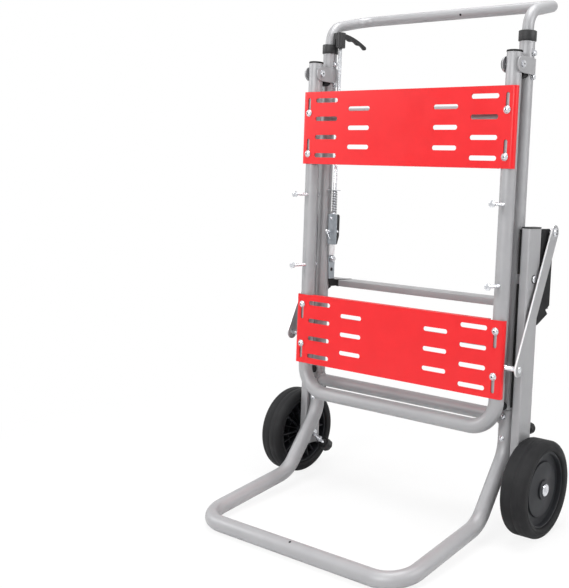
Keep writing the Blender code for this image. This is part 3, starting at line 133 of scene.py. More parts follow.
# Panels
SHEET = 0.002
PANEL_WIDTH = HALF_TRACK + 0.0184
PANEL_BEND = 0.008
PANEL_REAR_Y = TABLE_Y - TUBE_RADIUS - SEAT_GAP
PANEL_FRONT_Y = PANEL_REAR_Y - SHEET
FLANGE_REAR_Y = -0.0552
LIP_FRONT_Y = -0.0657
LIP_DEPTH = 0.016
LIP_END_X = HALF_TRACK - 0.0213
PANELS = (
    ("panel_upper", "upper_panel", 0.7436, 0.9055, (0.8581, 0.7662), 1),
    ("panel_lower", "lower_panel", 0.2847, 0.4432, (0.4208, 0.3294), -1),
)
SLOT_RADIUS = 0.0049
SLOT_CUT = (0.058, 0.072)
OUTER_SLOTS = (0.206, 0.064, 0.0408, 4)
INNER_SLOTS = (0.1134, 0.060, 0.0417, 3)
CLAMP_SLOT_RADIUS = 0.004
CLAMP_TRAVEL = 0.030

# Fasteners: hex heads are (across, height), domes (radius, height), washers (radius, hole, thickness)
HEX_SHOULDER_SHARE = 0.86
HEX_TOP_SHARE = 0.44
HEX_EDGE_SHARE = 0.98
HEX_ROOT_SHARE = 0.84
SHANK_TIP_SHARE = 0.8
SHANK_TAPER_SHARE = 0.2
THREAD_ROOT_SHARE = 0.88
SAW_BOLT_HEIGHTS = (0.6738, 0.5122)
SAW_BOLT_TIP = 0.0595
SAW_BOLT_RADIUS = 0.0036
SAW_BOLT_END = -0.023
SAW_HEAD_DROP = 0.0050
SAW_SHANK_DROP = 0.004
SAW_HEX = (0.0124, 0.0048)
SAW_NUT = (0.0120, 0.0055)
CHEEK_OFFSET = 0.0196
HINGE_HEX = (0.0115, 0.003)
HINGE_WASHER = (0.0075, 0.0041, 0.0009)
HINGE_NUT_BASE = 0.0226
HINGE_SHANK = (-0.0225, 0.0205)
HINGE_SOCKET = (0.0021, 0.0010)
HINGE_SOCKET_RISE = 0.0040
HINGE_DISC = (0.014, 0.0043, 0.0026)
CLAMP_SHANK = (0.003, -0.010, 0.002)
CLAMP_WASHER = (0.0078, 0.0031, 0.0011)
CLAMP_DOME = (0.0066, 0.0042)
CLAMP_SOCKET = (0.0020, 0.0008)
CLAMP_SOCKET_TOP = 0.0054
HANDLE_BOLT_HEIGHTS = (0.975, 0.928)
HANDLE_WASHER = (0.0062, 0.003, 0.0011)
HANDLE_HEX = (0.0095, 0.0042)
HANDLE_DOME = (0.0048, 0.0025)
SLEEVE_BOLT_HEIGHTS = (0.2393, 0.1944)
SLEEVE_WASHER = (0.0060, 0.003, 0.0010)
SLEEVE_DOME = (0.0050, 0.0030)
PIVOT_SHANK_RADIUS = 0.0039
PIVOT_NUT = (0.0135, 0.0058)
PIVOT_NUT_LIFTS = {"left": 0.0036, "right": SEAT_GAP}
PIVOT_TAIL = 0.0105
PIVOT_WASHER = (0.0088, 0.004, 0.0009)
PIVOT_SLOT = (0.0045, 0.0007)
STUD_WASHER = (0.0074, 0.004, 0.0008)
STUD_DOME = (0.0066, 0.0022)
AXLE_RADIUS = 0.006
AXLE_START = 0.0125
AXLE_NUT = (0.0155, 0.0066)
STRUT_WASHER = (0.0095, 0.003, 0.0010)
STRUT_DOME = (0.0082, 0.0030)
STRUT_SLOT = (0.0052, 0.0008)

# Rubber and feet
BUMPER_Z = 0.2625
STOP_BLOCK_Y = (0.0100, 0.0292)
STOP_BLOCK_SHAPE = ((-0.0120, 0.9380), (-0.0120, 0.9290), (-0.0090, 0.9245), (0.0090, 0.9245),
                    (0.0120, 0.9290), (0.0120, 0.9380))
PAD_Z = 0.210
FOOT_REACH = 0.0846
FOOT_TRAVEL = 0.010
FOOT_START = 0.0545
FOOT_RADIUS = 0.0150
FOOT_FLUTE = 0.0008
FOOT_NUT = (0.0125, 0.006)
FOOT_NUT_BASE = 0.051
FOOT_ROOT_DEPTH = 0.012

# Wheel frame
ARM_INNER = 0.019
ARM_OUTER = 0.039
ARM_CENTRE = 0.029
ARM_REAR_Y = 0.0335
# Dark sheets in the slits beside the legs: painted shade
SLIT_SHADE_Y = (-0.0195, 0.028)
SLIT_SHADE_LOW_Z = 0.262
SLIT_SHADE_GAP = 0.0009
SLIT_SHADE_PIVOT_ROOM = 0.010
TRAY_TOP_Z = 0.626
TRAY_TOE_Z = 0.4290
TRAY_REAR_Y = 0.0855
TRAY_REAR = [(0.0350, 0.4290), (0.0790, 0.4487), (0.0690, 0.4580), (TRAY_REAR_Y, 0.4662)]
TRAY_RIM = 0.012
BEAM_FRONT_Y = 0.034
BEAM_REAR_Y = 0.0852
BEAM_BOTTOM_Z = 0.4585
BEAM_TOP_Z = 0.4732
BEAM_CORNER = 0.0014
# The beam's left end is wrapped in a dark sheath: a painted shadow of the leg
BEAM_SHADOW_END = -0.2345
BEAM_SHADOW_GROWTH = 0.0005
STRUT_HEAD = (0.0752, 0.6195)
STRUT_INNER = 0.0445
STRUT_THICKNESS = 0.004
STRUT_RADIUS = 0.0150
HALF_TYRE = 0.0287
TYRE_RADIUS = 0.0999
TYRE_SHOULDER = 0.0118
RIM_RADIUS = 0.078
HUB_HALF = 0.0225
HUB_WELL_RADIUS = RIM_RADIUS - 0.0048
SPOKE_COUNT = 20
SPOKE_ROOT = 0.0185
SPOKES = ((-0.0150, 0.0010), (-0.0190, 0.0016))

# Lock and trigger
ROD_X = -0.2275
ROD_RADIUS = 0.004
ROD_ENDS = (0.5620, 1.0135)
ROD_COLLAR_Z = 0.6308
SPRING_ENDS = (0.6332, 0.6835)
SPRING_RADIUS = 0.0054
SPRING_WIRE = 0.0009
SPRING_TURNS = 13
SPRING_STEPS = 24
HOUSING_SIDES = (-0.2390, -0.2135)
HOUSING_LOW_Z = 0.560
HOUSING_HIGH_Z = 0.630
HOUSING_CORNER = 0.003
HOUSING_FACE = (0.0048, 0.0064)
HOUSING_SIDE = (-0.0050, 0.0049)
HOUSING_SIDE_SHEET = 0.0014
HOUSING_KNEE = 0.020
HOUSING_SHOULDER = 0.004
COVER_REAR = -0.0047
COVER_FRONT = (0.0045, 0.0049, 0.0062)
COVER_DEPTH = 0.0050
HOUSING_SCREW_PLACE = (-0.2300, 0, 0.6205)
HOUSING_SCREW = (0.0040, 0.0022)
HOUSING_RIVET_PLACE = (-0.0010, 0.5900)
HOUSING_RIVET = (0.0030, 0.0016)
HOUSING_BOLT_Z = 0.5895
HOUSING_WASHER = (0.0060, 0.002, 0.0008)
HOUSING_HEX = (0.0085, 0.0040)
HOUSING_WIRE = ((0.0010, -0.0105, 0.5905), (0.0035, -0.0112, 0.5850), (0.0065, -0.0104, 0.5775),
                (0.0090, -0.0076, 0.5720))
HOUSING_WIRE_RADIUS = 0.0011
LATCH_SIDES = (-0.2369, -0.2234)
LATCH_ENDS = (0.5345, 0.5665)
LATCH_HALF_THICKNESS = 0.0020
LOCK_PLATE_FACES = (-0.2409, -0.2387)
LOCK_PLATE_NOSE = 0.0085
LOCK_PLATE_REAR_Y = 0.0221
LOCK_PLATE_CORNER = 0.008
LOCK_FOOT_Z = 0.4775
LOCK_HOLE = (0.0121, 0.4994)
LOCK_HOLE_RADIUS = 0.0045
TRIGGER_ENDS = (1.012, 1.046)
TRIGGER_RADIUS = 0.0110
TRIGGER_FLUTE = 0.0009
TRIGGER_ARM = ((-0.2441, 1.0199), (-0.2396, 1.0199), (-0.2396, 1.0320), (-0.2330, 1.0320),
               (-0.2330, 1.0457), (-0.2441, 1.0457))
TRIGGER_ARM_HALF = 0.006
TRIGGER_SLOT = (-0.0048, -0.0045, 0.0048, 0.0275)
TRIGGER_SLOT_Z = (1.0285, 1.056)
TRIGGER_WELL_RADIUS = 0.0043
TRIGGER_WELL_Z = (1.005, 1.0245)
LEVER_PLACE = (0.004, 1.038)
LEVER_ROOT = 0.0075
LEVER_LENGTH = 0.0825
LEVER_DROP = 0.018
LEVER_HEIGHT = 0.015
LEVER_TAPER = 0.006
LEVER_GROOVE = 0.0028
LEVER_TIP = 0.0045
LEVER_HALF = 0.0045

# Light and camera
WORLD_LEVEL = 0.19
WORLD_LOW_LEVEL = 0.04
WORLD_RISE = (-0.06, 0.10)
FLOOR_SIZE = 5
FLOOR_Z = -0.0004
FLOOR_WHITE_SHARE = 0.86
FLOOR_FADE = (0.45, 1.2)
MIDDLE = (0, 0, 0.5)
LAMPS = (
    ("key_lamp", (0.3, -3.1, 1.9), MIDDLE, 1.5, 66),
    ("left_lamp", (-2.4, -1.2, 1.6), MIDDLE, 1.0, 24),
    ("right_lamp", (2.5, 0.5, 1.7), MIDDLE, 0.8, 34),
    ("top_lamp", (0.1, 0.1, 3.1), (0, 0, 0.4), 1.8, 74),
)
CAMERA_PLACE = (1.1882, -1.5524, 0.8134)
CAMERA_YAW = 36.858
CAMERA_PITCH = 8.160
CAMERA_LENS = 57.635
CAMERA_SENSOR = 36
CAMERA_SHIFT = (-0.1760, -0.0424)

# Coats and grain
COAT_ROUGHNESS = 0.12
PATCH_SHARE = 1.7
GRAIN_STRENGTH = 0.6

# Finishes: frame slot, two close colours, roughness range, grain as (scale, detail, depth), and the rest
FINISHES = {
    "silver coat": ("tube_silver", (0.345, 0.345, 0.355), (0.31, 0.31, 0.32), (0.40, 0.50),
                    (1100, 3, 0.00006), {"metallic": 0.2}),
    "red coat": ("panel_red", (0.74, 0.007, 0.012), (0.69, 0.005, 0.009), (0.36, 0.46),
                 (650, 2, 0.00008), {"coat": 0.06, "sheen_level": 0.4}),
    "black plastic": ("black_plastic", (0.012, 0.012, 0.013), (0.018, 0.018, 0.019), (0.42, 0.56),
                      (1600, 3, 0.00006), {"sheen_level": 0.35}),
    "black rubber": ("rubber_black", (0.010, 0.010, 0.011), (0.015, 0.015, 0.016), (0.58, 0.78),
                     (1400, 4, 0.0001), {"sheen_level": 0.3}),
    "tyre rubber": ("tyre_black", (0.009, 0.009, 0.010), (0.014, 0.014, 0.015), (0.56, 0.72),
                    (900, 4, 0.00012), {"sheen_level": 0.2}),
    "hub plastic": ("hub_grey", (0.019, 0.020, 0.023), (0.014, 0.015, 0.018), (0.44, 0.56),
                    (1500, 2, 0.00006), {"sheen_level": 0.3}),
    "bright zinc": ("zinc", (0.66, 0.67, 0.69), (0.50, 0.51, 0.54), (0.16, 0.30),
                    (420, 3, 0.00005), {"metallic": 0.85, "tint_scale": 90}),
    "dull zinc": ("zinc", (0.40, 0.43, 0.46), (0.30, 0.33, 0.36), (0.35, 0.5),
                  (420, 3, 0.00006), {"metallic": 0.8, "tint_scale": 70}),
    # zinc painted dark for the spring: painted shade between its coils
    "spring zinc in painted shade": ("zinc", (0.10, 0.10, 0.11), (0.06, 0.06, 0.07), (0.35, 0.5),
                     (420, 3, 0.00004), {"metallic": 0.9, "tint_scale": 90}),
    # silver painted near white: painted highlight on the struts' edge faces and on the latch bar
    "silver in painted highlight": ("tube_silver", (0.80, 0.80, 0.81), (0.70, 0.70, 0.71), (0.30, 0.45),
                 (600, 3, 0.00005), {"metallic": 0.2}),
    # silver painted near black: painted shade on the brackets behind the arms, the beam's left end and the
    # lock plate's foot
    "silver in painted shade": ("tube_silver", (0.012, 0.012, 0.013), (0.020, 0.020, 0.021), (0.6, 0.72),
                  (1200, 3, 0.00006), {"sheen_level": 0.12}),
    # near black: the own colour of the black plugs and hinge discs, and painted shade in sockets, slots, drain
    # holes and the slits beside the arms
    "black and painted shade": ("black_plastic", (0.006, 0.006, 0.006), (0.01, 0.01, 0.01), (0.7, 0.9),
                   (900, 2, 0.00002), {"sheen_level": 0.2}),
}
FINISH_OF_SLOT = {look[0]: name for name, look in reversed(list(FINISHES.items()))}


# Shapes drawn in bmesh

def add_turned(mesh, profile, matrix=UNTURNED, steps=32):
    """Turn a profile of (radius, height) about z; a profile that leaves the axis is closed as a ring."""
    rings = []
    for radius, height in profile:
        count = steps if radius else 1
        ring = []
        for i in range(count):
            angle = 2 * pi * i / steps
            ring.append(mesh.verts.new(matrix @ Vector((radius * cos(angle), radius * sin(angle), height))))
        rings.append(ring)
    if profile[0][0] != 0:
        rings.append(rings[0])
    for upper, lower in zip(rings, rings[1:]):
        for i in range(steps):
            corners = [upper[i % len(upper)], upper[(i + 1) % len(upper)]]
            corners += [lower[(i + 1) % len(lower)], lower[i % len(lower)]]
            unique = list(dict.fromkeys(corners))
            if len(unique) > 2:
                mesh.faces.new(unique)


def add_rod(mesh, radius, ends, matrix=UNTURNED, steps=32):
    """A plain round rod between two heights."""
    low, high = ends
    add_turned(mesh, [(0, high), (radius, high), (radius, low), (0, low)], matrix, steps)


def add_prism(mesh, outline, low, high, matrix=UNTURNED):
    """Raise a flat outline of (x, y) from one height to another."""
    bottom = [mesh.verts.new(matrix @ Vector((x, y, low))) for x, y in outline]
    top = [mesh.verts.new(matrix @ Vector((x, y, high))) for x, y in outline]
    mesh.faces.new(bottom[::-1])
    mesh.faces.new(top)
    count = len(outline)
    for i in range(count):
        after = (i + 1) % count
        mesh.faces.new((bottom[i], bottom[after], top[after], top[i]))


def add_plate(mesh, outline, side, near, far):
    """Raise an outline of (y, z) sideways between two distances from the stand's middle."""
    low, high = sorted((side * near, side * far))
    add_prism(mesh, outline, low, high, SIDEWAYS)


def add_sweep(mesh, path, radii, sides=40, closed=False):
    """Sweep a round section along a path, with one radius or one for each point."""
    count = len(path)
    if not hasattr(radii, "__len__"):
        radii = [radii] * count
    points = [Vector(point) for point in path]
    tangents = []
    for i in range(count):
        before = points[i - 1] if closed or i else points[0]
        after = points[(i + 1) % count] if closed or i < count - 1 else points[-1]
        tangents.append((after - before).normalized())
    normal = tangents[0].orthogonal().normalized()
    rings = []
    for point, tangent, radius in zip(points, tangents, radii):
        normal = (normal - tangent * normal.dot(tangent)).normalized()
        side = tangent.cross(normal)
        ring = []
        for i in range(sides):
            angle = 2 * pi * i / sides
            ring.append(mesh.verts.new(point + (normal * cos(angle) + side * sin(angle)) * radius))
        rings.append(ring)
    pairs = list(zip(rings, rings[1:]))
    if closed:
        pairs.append((rings[-1], rings[0]))
    for first, second in pairs:
        for i in range(sides):
            after = (i + 1) % sides
            mesh.faces.new((first[i], first[after], second[after], second[i]))
    if not closed:
        mesh.faces.new(rings[0][::-1])
        mesh.faces.new(rings[-1])


def bent_path(corners, radii):
    """A path through corners, each rounded with its own radius."""
    points = [Vector(corners[0])]
    for before, corner, after, radius in zip(corners, corners[1:], corners[2:], radii):
        corner = Vector(corner)
        arriving = (corner - Vector(before)).normalized()
        leaving = (Vector(after) - corner).normalized()
        turn = arriving.angle(leaving)
        normal = (leaving - arriving * arriving.dot(leaving)).normalized()
        centre = corner - arriving * radius * tan(turn / 2) + normal * radius
        steps = max(2, round(turn / BEND_STEP))
        for i in range(steps + 1):
            angle = turn * i / steps
            points.append(centre - normal * radius * cos(angle) + arriving * radius * sin(angle))
    points.append(Vector(corners[-1]))
    return points


def mirrored_path(half, bends):
    """A bent path from left to right, with its right half given from the end to the middle."""
    return bent_path([(-x, y, z) for x, y, z in half] + half[::-1], bends + bends[::-1])


def arc(centre, radius, start, end, steps):
    """Points of an arc in the plane."""
    angles = [start + (end - start) * i / steps for i in range(steps + 1)]
    return [(centre[0] + radius * cos(t), centre[1] + radius * sin(t)) for t in angles]


def capsule(start, end, radius, steps=14):
    """An outline with a round end about each of two points."""
    along = atan2(end[1] - start[1], end[0] - start[0])
    first = arc(end, radius, along - pi / 2, along + pi / 2, steps)
    return first + arc(start, radius, along + pi / 2, along + 3 * pi / 2, steps)


def rectangle(left, low, right, high):
    """An outline with four corners."""
    return [(left, low), (right, low), (right, high), (left, high)]


def fluted(radius, depth, flutes, steps):
    """A round outline with shallow flutes."""
    outline = []
    for i in range(steps):
        angle = 2 * pi * i / steps
        reach = radius - depth * (1 - cos(flutes * angle)) / 2
        outline.append((reach * cos(angle), reach * sin(angle)))
    return outline


def at(place, direction=(0, 0, 1)):
    """A matrix that puts a shape's zero at a place and its z along a direction."""
    turn = Vector((0, 0, 1)).rotation_difference(Vector(direction))
    return Matrix.Translation(Vector(place)) @ turn.to_matrix().to_4x4()


def stand_object(name, mesh):
    """An object of a mesh that was drawn in the legs' frame, set upright with the stand."""
    bmesh.ops.transform(mesh, matrix=STAND, verts=mesh.verts)
    bmesh.ops.recalc_face_normals(mesh, faces=mesh.faces)
    data = bpy.data.meshes.new(name)
    mesh.to_mesh(data)
    mesh.free()
    obj = bpy.data.objects.new(name, data)
    bpy.context.scene.collection.objects.link(obj)
    return obj


def smooth_over(data, angle):
    """Smooth shading that keeps edges sharper than an angle in degrees."""
    data.shade_smooth()
    data.set_sharp_from_angle(angle=radians(angle))


def piece(name, mesh, body, finish, stands_for=(), bevel=0.0, smooth=40):
    """Make an object of a mesh drawn in the legs' frame, ride it on its body and give it its finish."""
    obj = stand_object(name, mesh)
    obj.data.materials.append(finishes[finish])
    smooth_over(obj.data, smooth)
    if bevel:
        soften(obj, bevel)
    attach(obj, body)
    if stands_for:
        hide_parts(*stands_for)
    return obj


def soften(obj, width, segments=2):
    """Round a piece's edges a little, as paint and pressing do."""
    edge = obj.modifiers.new("soft edges", "BEVEL")
    edge.width = width
    edge.segments = segments
    edge.limit_method = "ANGLE"
    edge.angle_limit = EDGE_ANGLE
    edge.harden_normals = True


def carve(obj, mesh, operation):
    """Join or cut a piece with a shape drawn in the legs' frame, and keep the result as its mesh."""
    tool = stand_object("tool", mesh)
    step = obj.modifiers.new("step", "BOOLEAN")
    step.operation = operation
    step.solver = "EXACT"
    step.object = tool
    bpy.context.view_layer.update()
    graph = bpy.context.evaluated_depsgraph_get()
    result = bpy.data.meshes.new_from_object(obj.evaluated_get(graph))
    obj.modifiers.remove(step)
    obj.data = result
    smooth_over(result, 30)
    bpy.data.objects.remove(tool, do_unlink=True)


# Shader groups shared by the finishes

def add_node(tree, kind, values=()):
    """Add a shader node and set its inputs."""
    node = tree.nodes.new(kind)
    for name, value in dict(values).items():
        node.inputs[name].default_value = value
    return node


def link(tree, *routes):
    """Link sockets; a route is (from node, its output, to node, its input)."""
    for start, output, end, entry in routes:
        tree.links.new(start.outputs[output], end.inputs[entry])


def new_group(name, inputs, outputs, noise_values=()):
    """A shader group round one noise; inputs are (name, socket type, value)."""
    group = bpy.data.node_groups.new(name, "ShaderNodeTree")
    for label, kind, value in inputs:
        socket = group.interface.new_socket(name=label, in_out="INPUT", socket_type=kind)
        socket.default_value = value
    for label, kind in outputs:
        group.interface.new_socket(name=label, in_out="OUTPUT", socket_type=kind)
    entry = group.nodes.new("NodeGroupInput")
    leave = group.nodes.new("NodeGroupOutput")
    coordinates = group.nodes.new("ShaderNodeTexCoord")
    noise = add_node(group, "ShaderNodeTexNoise", noise_values)
    link(group, (coordinates, "Object", noise, "Vector"), (entry, "Scale", noise, "Scale"))
    return group, entry, leave, noise


def make_grain_group():
    """Fine skin of a coat or a moulding, as a height."""
    group, entry, leave, noise = new_group(
        "surface_grain",
        [("Scale", "NodeSocketFloat", 900.0), ("Detail", "NodeSocketFloat", 2.0)],
        [("Height", "NodeSocketFloat")],
    )
    link(group, (entry, "Detail", noise, "Detail"), (noise, "Fac", leave, "Height"))
    return group


def make_patch_group():
    """Slow change of a value over the surface, such as handling marks in the gloss."""
    group, entry, leave, noise = new_group(
        "gloss_patches",
        [
            ("Scale", "NodeSocketFloat", 20.0),
            ("Low", "NodeSocketFloat", 0.3),
            ("High", "NodeSocketFloat", 0.5),
        ],
        [("Value", "NodeSocketFloat")],
        {"Detail": 5.0},
    )
    spread = add_node(group, "ShaderNodeMapRange", {"From Min": 0.35, "From Max": 0.65})
    link(group, (noise, "Fac", spread, "Value"), (entry, "Low", spread, "To Min"),
         (entry, "High", spread, "To Max"), (spread, "Result", leave, "Value"))
    return group


def make_tint_group():
    """Two close colours mixed by a noise."""
    group, entry, leave, noise = new_group(
        "tint_change",
        [
            ("Scale", "NodeSocketFloat", 14.0),
            ("Main", "NodeSocketColor", (0.5, 0.5, 0.5, 1.0)),
            ("Other", "NodeSocketColor", (0.4, 0.4, 0.4, 1.0)),
        ],
        [("Colour", "NodeSocketColor")],
        {"Detail": 6.0, "Roughness": 0.65},
    )
    spread = add_node(group, "ShaderNodeMapRange", {"From Min": 0.3, "From Max": 0.7})
    mix = group.nodes.new("ShaderNodeMix")
    mix.data_type = "RGBA"
    link(group, (noise, "Fac", spread, "Value"), (spread, "Result", mix, "Factor"),
         (entry, "Main", mix, 6), (entry, "Other", mix, 7), (mix, 2, leave, "Colour"))
    return group


def place_group(tree, group, values):
    """Put a shader group in a material with its own values."""
    node = tree.nodes.new("ShaderNodeGroup")
    node.node_tree = group
    for name, value in values.items():
        node.inputs[name].default_value = value
    return node


def make_finish(name, main, other, gloss, grain, metallic=0.0, tint_scale=14.0, coat=0.0, sheen_level=0.5):
    """A Principled finish; gloss is (low, high) roughness, grain is (scale, detail, depth in metres)."""
    material = bpy.data.materials.new(name)
    material.use_nodes = True
    tree = material.node_tree
    shader = tree.nodes["Principled BSDF"]
    shader.inputs["Metallic"].default_value = metallic
    shader.inputs["Coat Weight"].default_value = coat
    shader.inputs["Specular IOR Level"].default_value = sheen_level
    shader.inputs["Coat Roughness"].default_value = COAT_ROUGHNESS
    tint = place_group(tree, tint_group, {"Scale": tint_scale, "Main": (*main, 1), "Other": (*other, 1)})
    patch_scale = tint_scale * PATCH_SHARE
    patches = place_group(tree, patch_group, {"Scale": patch_scale, "Low": gloss[0], "High": gloss[1]})
    height = place_group(tree, grain_group, {"Scale": grain[0], "Detail": grain[1]})
    bump = add_node(tree, "ShaderNodeBump", {"Distance": grain[2], "Strength": GRAIN_STRENGTH})
    link(tree, (tint, "Colour", shader, "Base Color"), (patches, "Value", shader, "Roughness"),
         (height, "Height", bump, "Height"), (bump, "Normal", shader, "Normal"))
    return material


grain_group = make_grain_group()
patch_group = make_patch_group()
tint_group = make_tint_group()
finishes = {}
for finish_name, look in FINISHES.items():
    finishes[finish_name] = make_finish(finish_name.replace(" ", "_"), *look[1:-1], **look[-1])


# Tubes

def make_tube(name, body, path, radius, node, bevel=0.0, sides=40):
    """A smooth round tube over a plainer one of the frame."""
    mesh = bmesh.new()
    add_sweep(mesh, path, radius, sides)
    piece(name, mesh, body, "silver coat", [node], bevel)


def make_tubes():
    """The legs, the toe loop, the handle, the table tube, the crossbars and the stay."""
    for _, name, x in SIDES:
        path = [(x, 0, LEG_FOOT_Z), (x, 0, LEG_TOP_Z)]
        make_tube("leg_tube_" + name, "frame", path, SLIM_RADIUS, "leg_" + name, SOFT_EDGE)
    half = [
        (HALF_TRACK, 0, TOE_TOP_Z),
        (HALF_TRACK, 0, TOE_KNEE_Z),
        (HALF_TRACK, *TOE_ANKLE),
        (HALF_TRACK, *TOE_FRONT),
    ]
    path = mirrored_path(half, TOE_BENDS)
    make_tube("toe_loop_tube", "frame", path, TOE_SLIM_RADIUS, "toe_loop", SOFT_EDGE)
    half = [(HALF_TRACK, 0, HANDLE_FOOT_Z), (HALF_TRACK, 0, HANDLE_KNEE_Z), (HALF_TRACK, *HANDLE_BAR)]
    path = mirrored_path(half, HANDLE_BENDS)
    make_tube("handle_bar", "frame", path, HANDLE_RADIUS - SEAT_GAP, "handle_tube")
    half = [(HALF_TRACK, TABLE_Y, TABLE_TOP_Z), (HALF_TRACK, TABLE_Y, TABLE_BAR_Z)]
    make_tube("table_tube", "table", mirrored_path(half, (TABLE_BEND,)), SLIM_RADIUS, "table_frame")
    end = HALF_TRACK - TUBE_RADIUS / 2
    for name, height in (("upper_crossbar", UPPER_CROSSBAR_Z), ("lower_crossbar", LOWER_CROSSBAR_Z)):
        make_tube(name + "_tube", "frame", [(-end, 0, height), (end, 0, height)], CROSSBAR_RADIUS, name)
    end = HALF_TRACK + STAY_END
    path = [(-end, *STAY_PLACE), (end, *STAY_PLACE)]
    make_tube("stay_tube", "wheel_frame", path, STAY_RADIUS, "stay", sides=24)


def make_welds():
    """Rippled weld beads where the crossbars meet the tubes."""
    steps = 96
    for name, height, leg in (
        ("upper", UPPER_CROSSBAR_Z, TUBE_RADIUS),
        ("lower", LOWER_CROSSBAR_Z, TOE_RADIUS),
    ):
        for side, label, _ in SIDES:
            path = []
            radii = []
            for i in range(steps):
                angle = 2 * pi * i / steps
                y = CROSSBAR_RADIUS * cos(angle)
                x = side * (HALF_TRACK - sqrt(leg ** 2 - y ** 2))
                path.append((x, y, height + CROSSBAR_RADIUS * sin(angle)))
                radii.append(WELD_RADIUS * (1 + WELD_RIPPLE * sin(WELD_RIPPLES * angle)))
            mesh = bmesh.new()
            add_sweep(mesh, path, radii, sides=10, closed=True)
            piece("%s_weld_%s" % (name, label), mesh, "frame", "silver coat")


def make_drilled_holes():
    """The small drain holes in the handle and in the toe loop's front bar, drawn as dark discs: painted shade
    in the holes.
    """
    mesh = bmesh.new()
    for x, radius, tube, bar, (way_y, way_z) in (
        (0.022, 0.0026, HANDLE_RADIUS, HANDLE_BAR, (-0.94, -0.34)),
        (0, 0.0024, TOE_RADIUS, TOE_FRONT, (-0.34, 0.94)),
    ):
        place = (x, bar[0] + tube * way_y, bar[1] + tube * way_z)
        add_rod(mesh, radius, DRAIN_HOLE_DEPTH, at(place, (0, way_y, way_z)), steps=20)
    piece("drain_holes", mesh, "frame", "black and painted shade")


# Fasteners

def add_hex(mesh, size, base, matrix):
    """A hexagon head with its corners turned off, standing on a height along its own z."""
    across, height = size
    corner = across / sqrt(3)
    top = base + height
    shoulder = base + height * HEX_SHOULDER_SHARE
    outline = arc((0, 0), corner, 0, 2 * pi, 6)[:-1]
    add_prism(mesh, outline, base, shoulder, matrix)
    profile = [(0, top), (across * HEX_TOP_SHARE, top), (corner * HEX_EDGE_SHARE, shoulder),
               (0, base + height * HEX_ROOT_SHARE)]
    add_turned(mesh, profile, matrix, steps=30)


def add_washer(mesh, size, base, matrix):
    """A flat washer."""
    outer, inner, thickness = size
    edge = thickness / 4
    top = base + thickness
    profile = [(inner, top), (outer - edge, top), (outer, top - edge), (outer, base + edge),
               (outer - edge, base), (inner, base)]
    add_turned(mesh, profile, matrix, steps=36)


def add_shank(mesh, radius, low, high, matrix, pitch=0.0):
    """A shank, threaded where a pitch is given."""
    start = high - radius * SHANK_TAPER_SHARE
    profile = [(0, high), (radius * SHANK_TIP_SHARE, high), (radius, start)]
    if pitch:
        count = int((high - low) / pitch) - 1
        for i in range(1, count):
            z = start - i * pitch
            profile += [(radius, z + pitch / 2), (radius * THREAD_ROOT_SHARE, z + pitch / 4)]
    profile += [(radius, low), (0, low)]
    add_turned(mesh, profile, matrix, steps=24)


def add_dome(mesh, size, base, matrix):
    """A domed head or cap nut crown."""
    radius, height = size
    curve = (radius ** 2 + height ** 2) / (2 * height)
    top = base + height
    profile = [(0, top)]
    for i in range(1, 9):
        r = radius * (i / 8)
        profile.append((r, top - curve + sqrt(curve ** 2 - r ** 2)))
    profile.append((0, base - HAIR))
    add_turned(mesh, profile, matrix)


def add_socket(mesh, size, top, matrix):
    """The six-sided socket in a bolt's head, drawn as a dark plug: painted shade in its hollow."""
    radius, depth = size
    profile = [(0, top + 0.0001), (radius, top), (radius, top - depth), (0, top - depth)]
    add_turned(mesh, profile, matrix, steps=6)


def make_hinge_pins():
    """Hinge bolts with hex heads, black washers and lock nuts."""
    head = CHEEK_OFFSET + HINGE_WASHER[2]
    for _, name, x in SIDES:
        place = at((x, TABLE_Y, HINGE_Z), RIGHT)
        back = at((x, TABLE_Y, HINGE_Z), LEFT)
        mesh = bmesh.new()
        add_shank(mesh, BOLT_RADIUS, *HINGE_SHANK, place)
        add_washer(mesh, HINGE_WASHER, CHEEK_OFFSET, place)
        add_hex(mesh, HINGE_HEX, head, place)
        add_hex(mesh, HINGE_HEX, HINGE_NUT_BASE, back)
        piece("hinge_bolt_" + name, mesh, "frame", "bright zinc", ["hinge_pin_" + name])
        mesh = bmesh.new()
        # The socket is a dark plug: painted shade.
        add_socket(mesh, HINGE_SOCKET, CHEEK_OFFSET + HINGE_SOCKET_RISE, place)
        piece("hinge_socket_" + name, mesh, "frame", "black and painted shade")
        mesh = bmesh.new()
        add_washer(mesh, HINGE_DISC, CHEEK_OFFSET + 0.0001, back)
        piece("hinge_disc_" + name, mesh, "frame", "black and painted shade", ["hinge_washer_" + name])


def make_saw_bolts():
    """Long bolts with hex heads in front and lock nuts behind the tube."""
    for _, label, x in SIDES:
        for number, height in enumerate(SAW_BOLT_HEIGHTS, start=1):
            place = at((x, TABLE_Y, height), FRONT)
            back = at((x, TABLE_Y, height), REAR)
            mesh = bmesh.new()
            add_shank(mesh, SAW_BOLT_RADIUS, SAW_BOLT_END, SAW_BOLT_TIP - SAW_SHANK_DROP, place, THREAD_PITCH)
            add_hex(mesh, SAW_HEX, SAW_BOLT_TIP - SAW_HEAD_DROP, place)
            add_hex(mesh, SAW_NUT, TUBE_RADIUS + HAIR, back)
            name = "%s_%d" % (label, number)
            piece("saw_screw_" + name, mesh, "table", "bright zinc", ["saw_bolt_" + name])


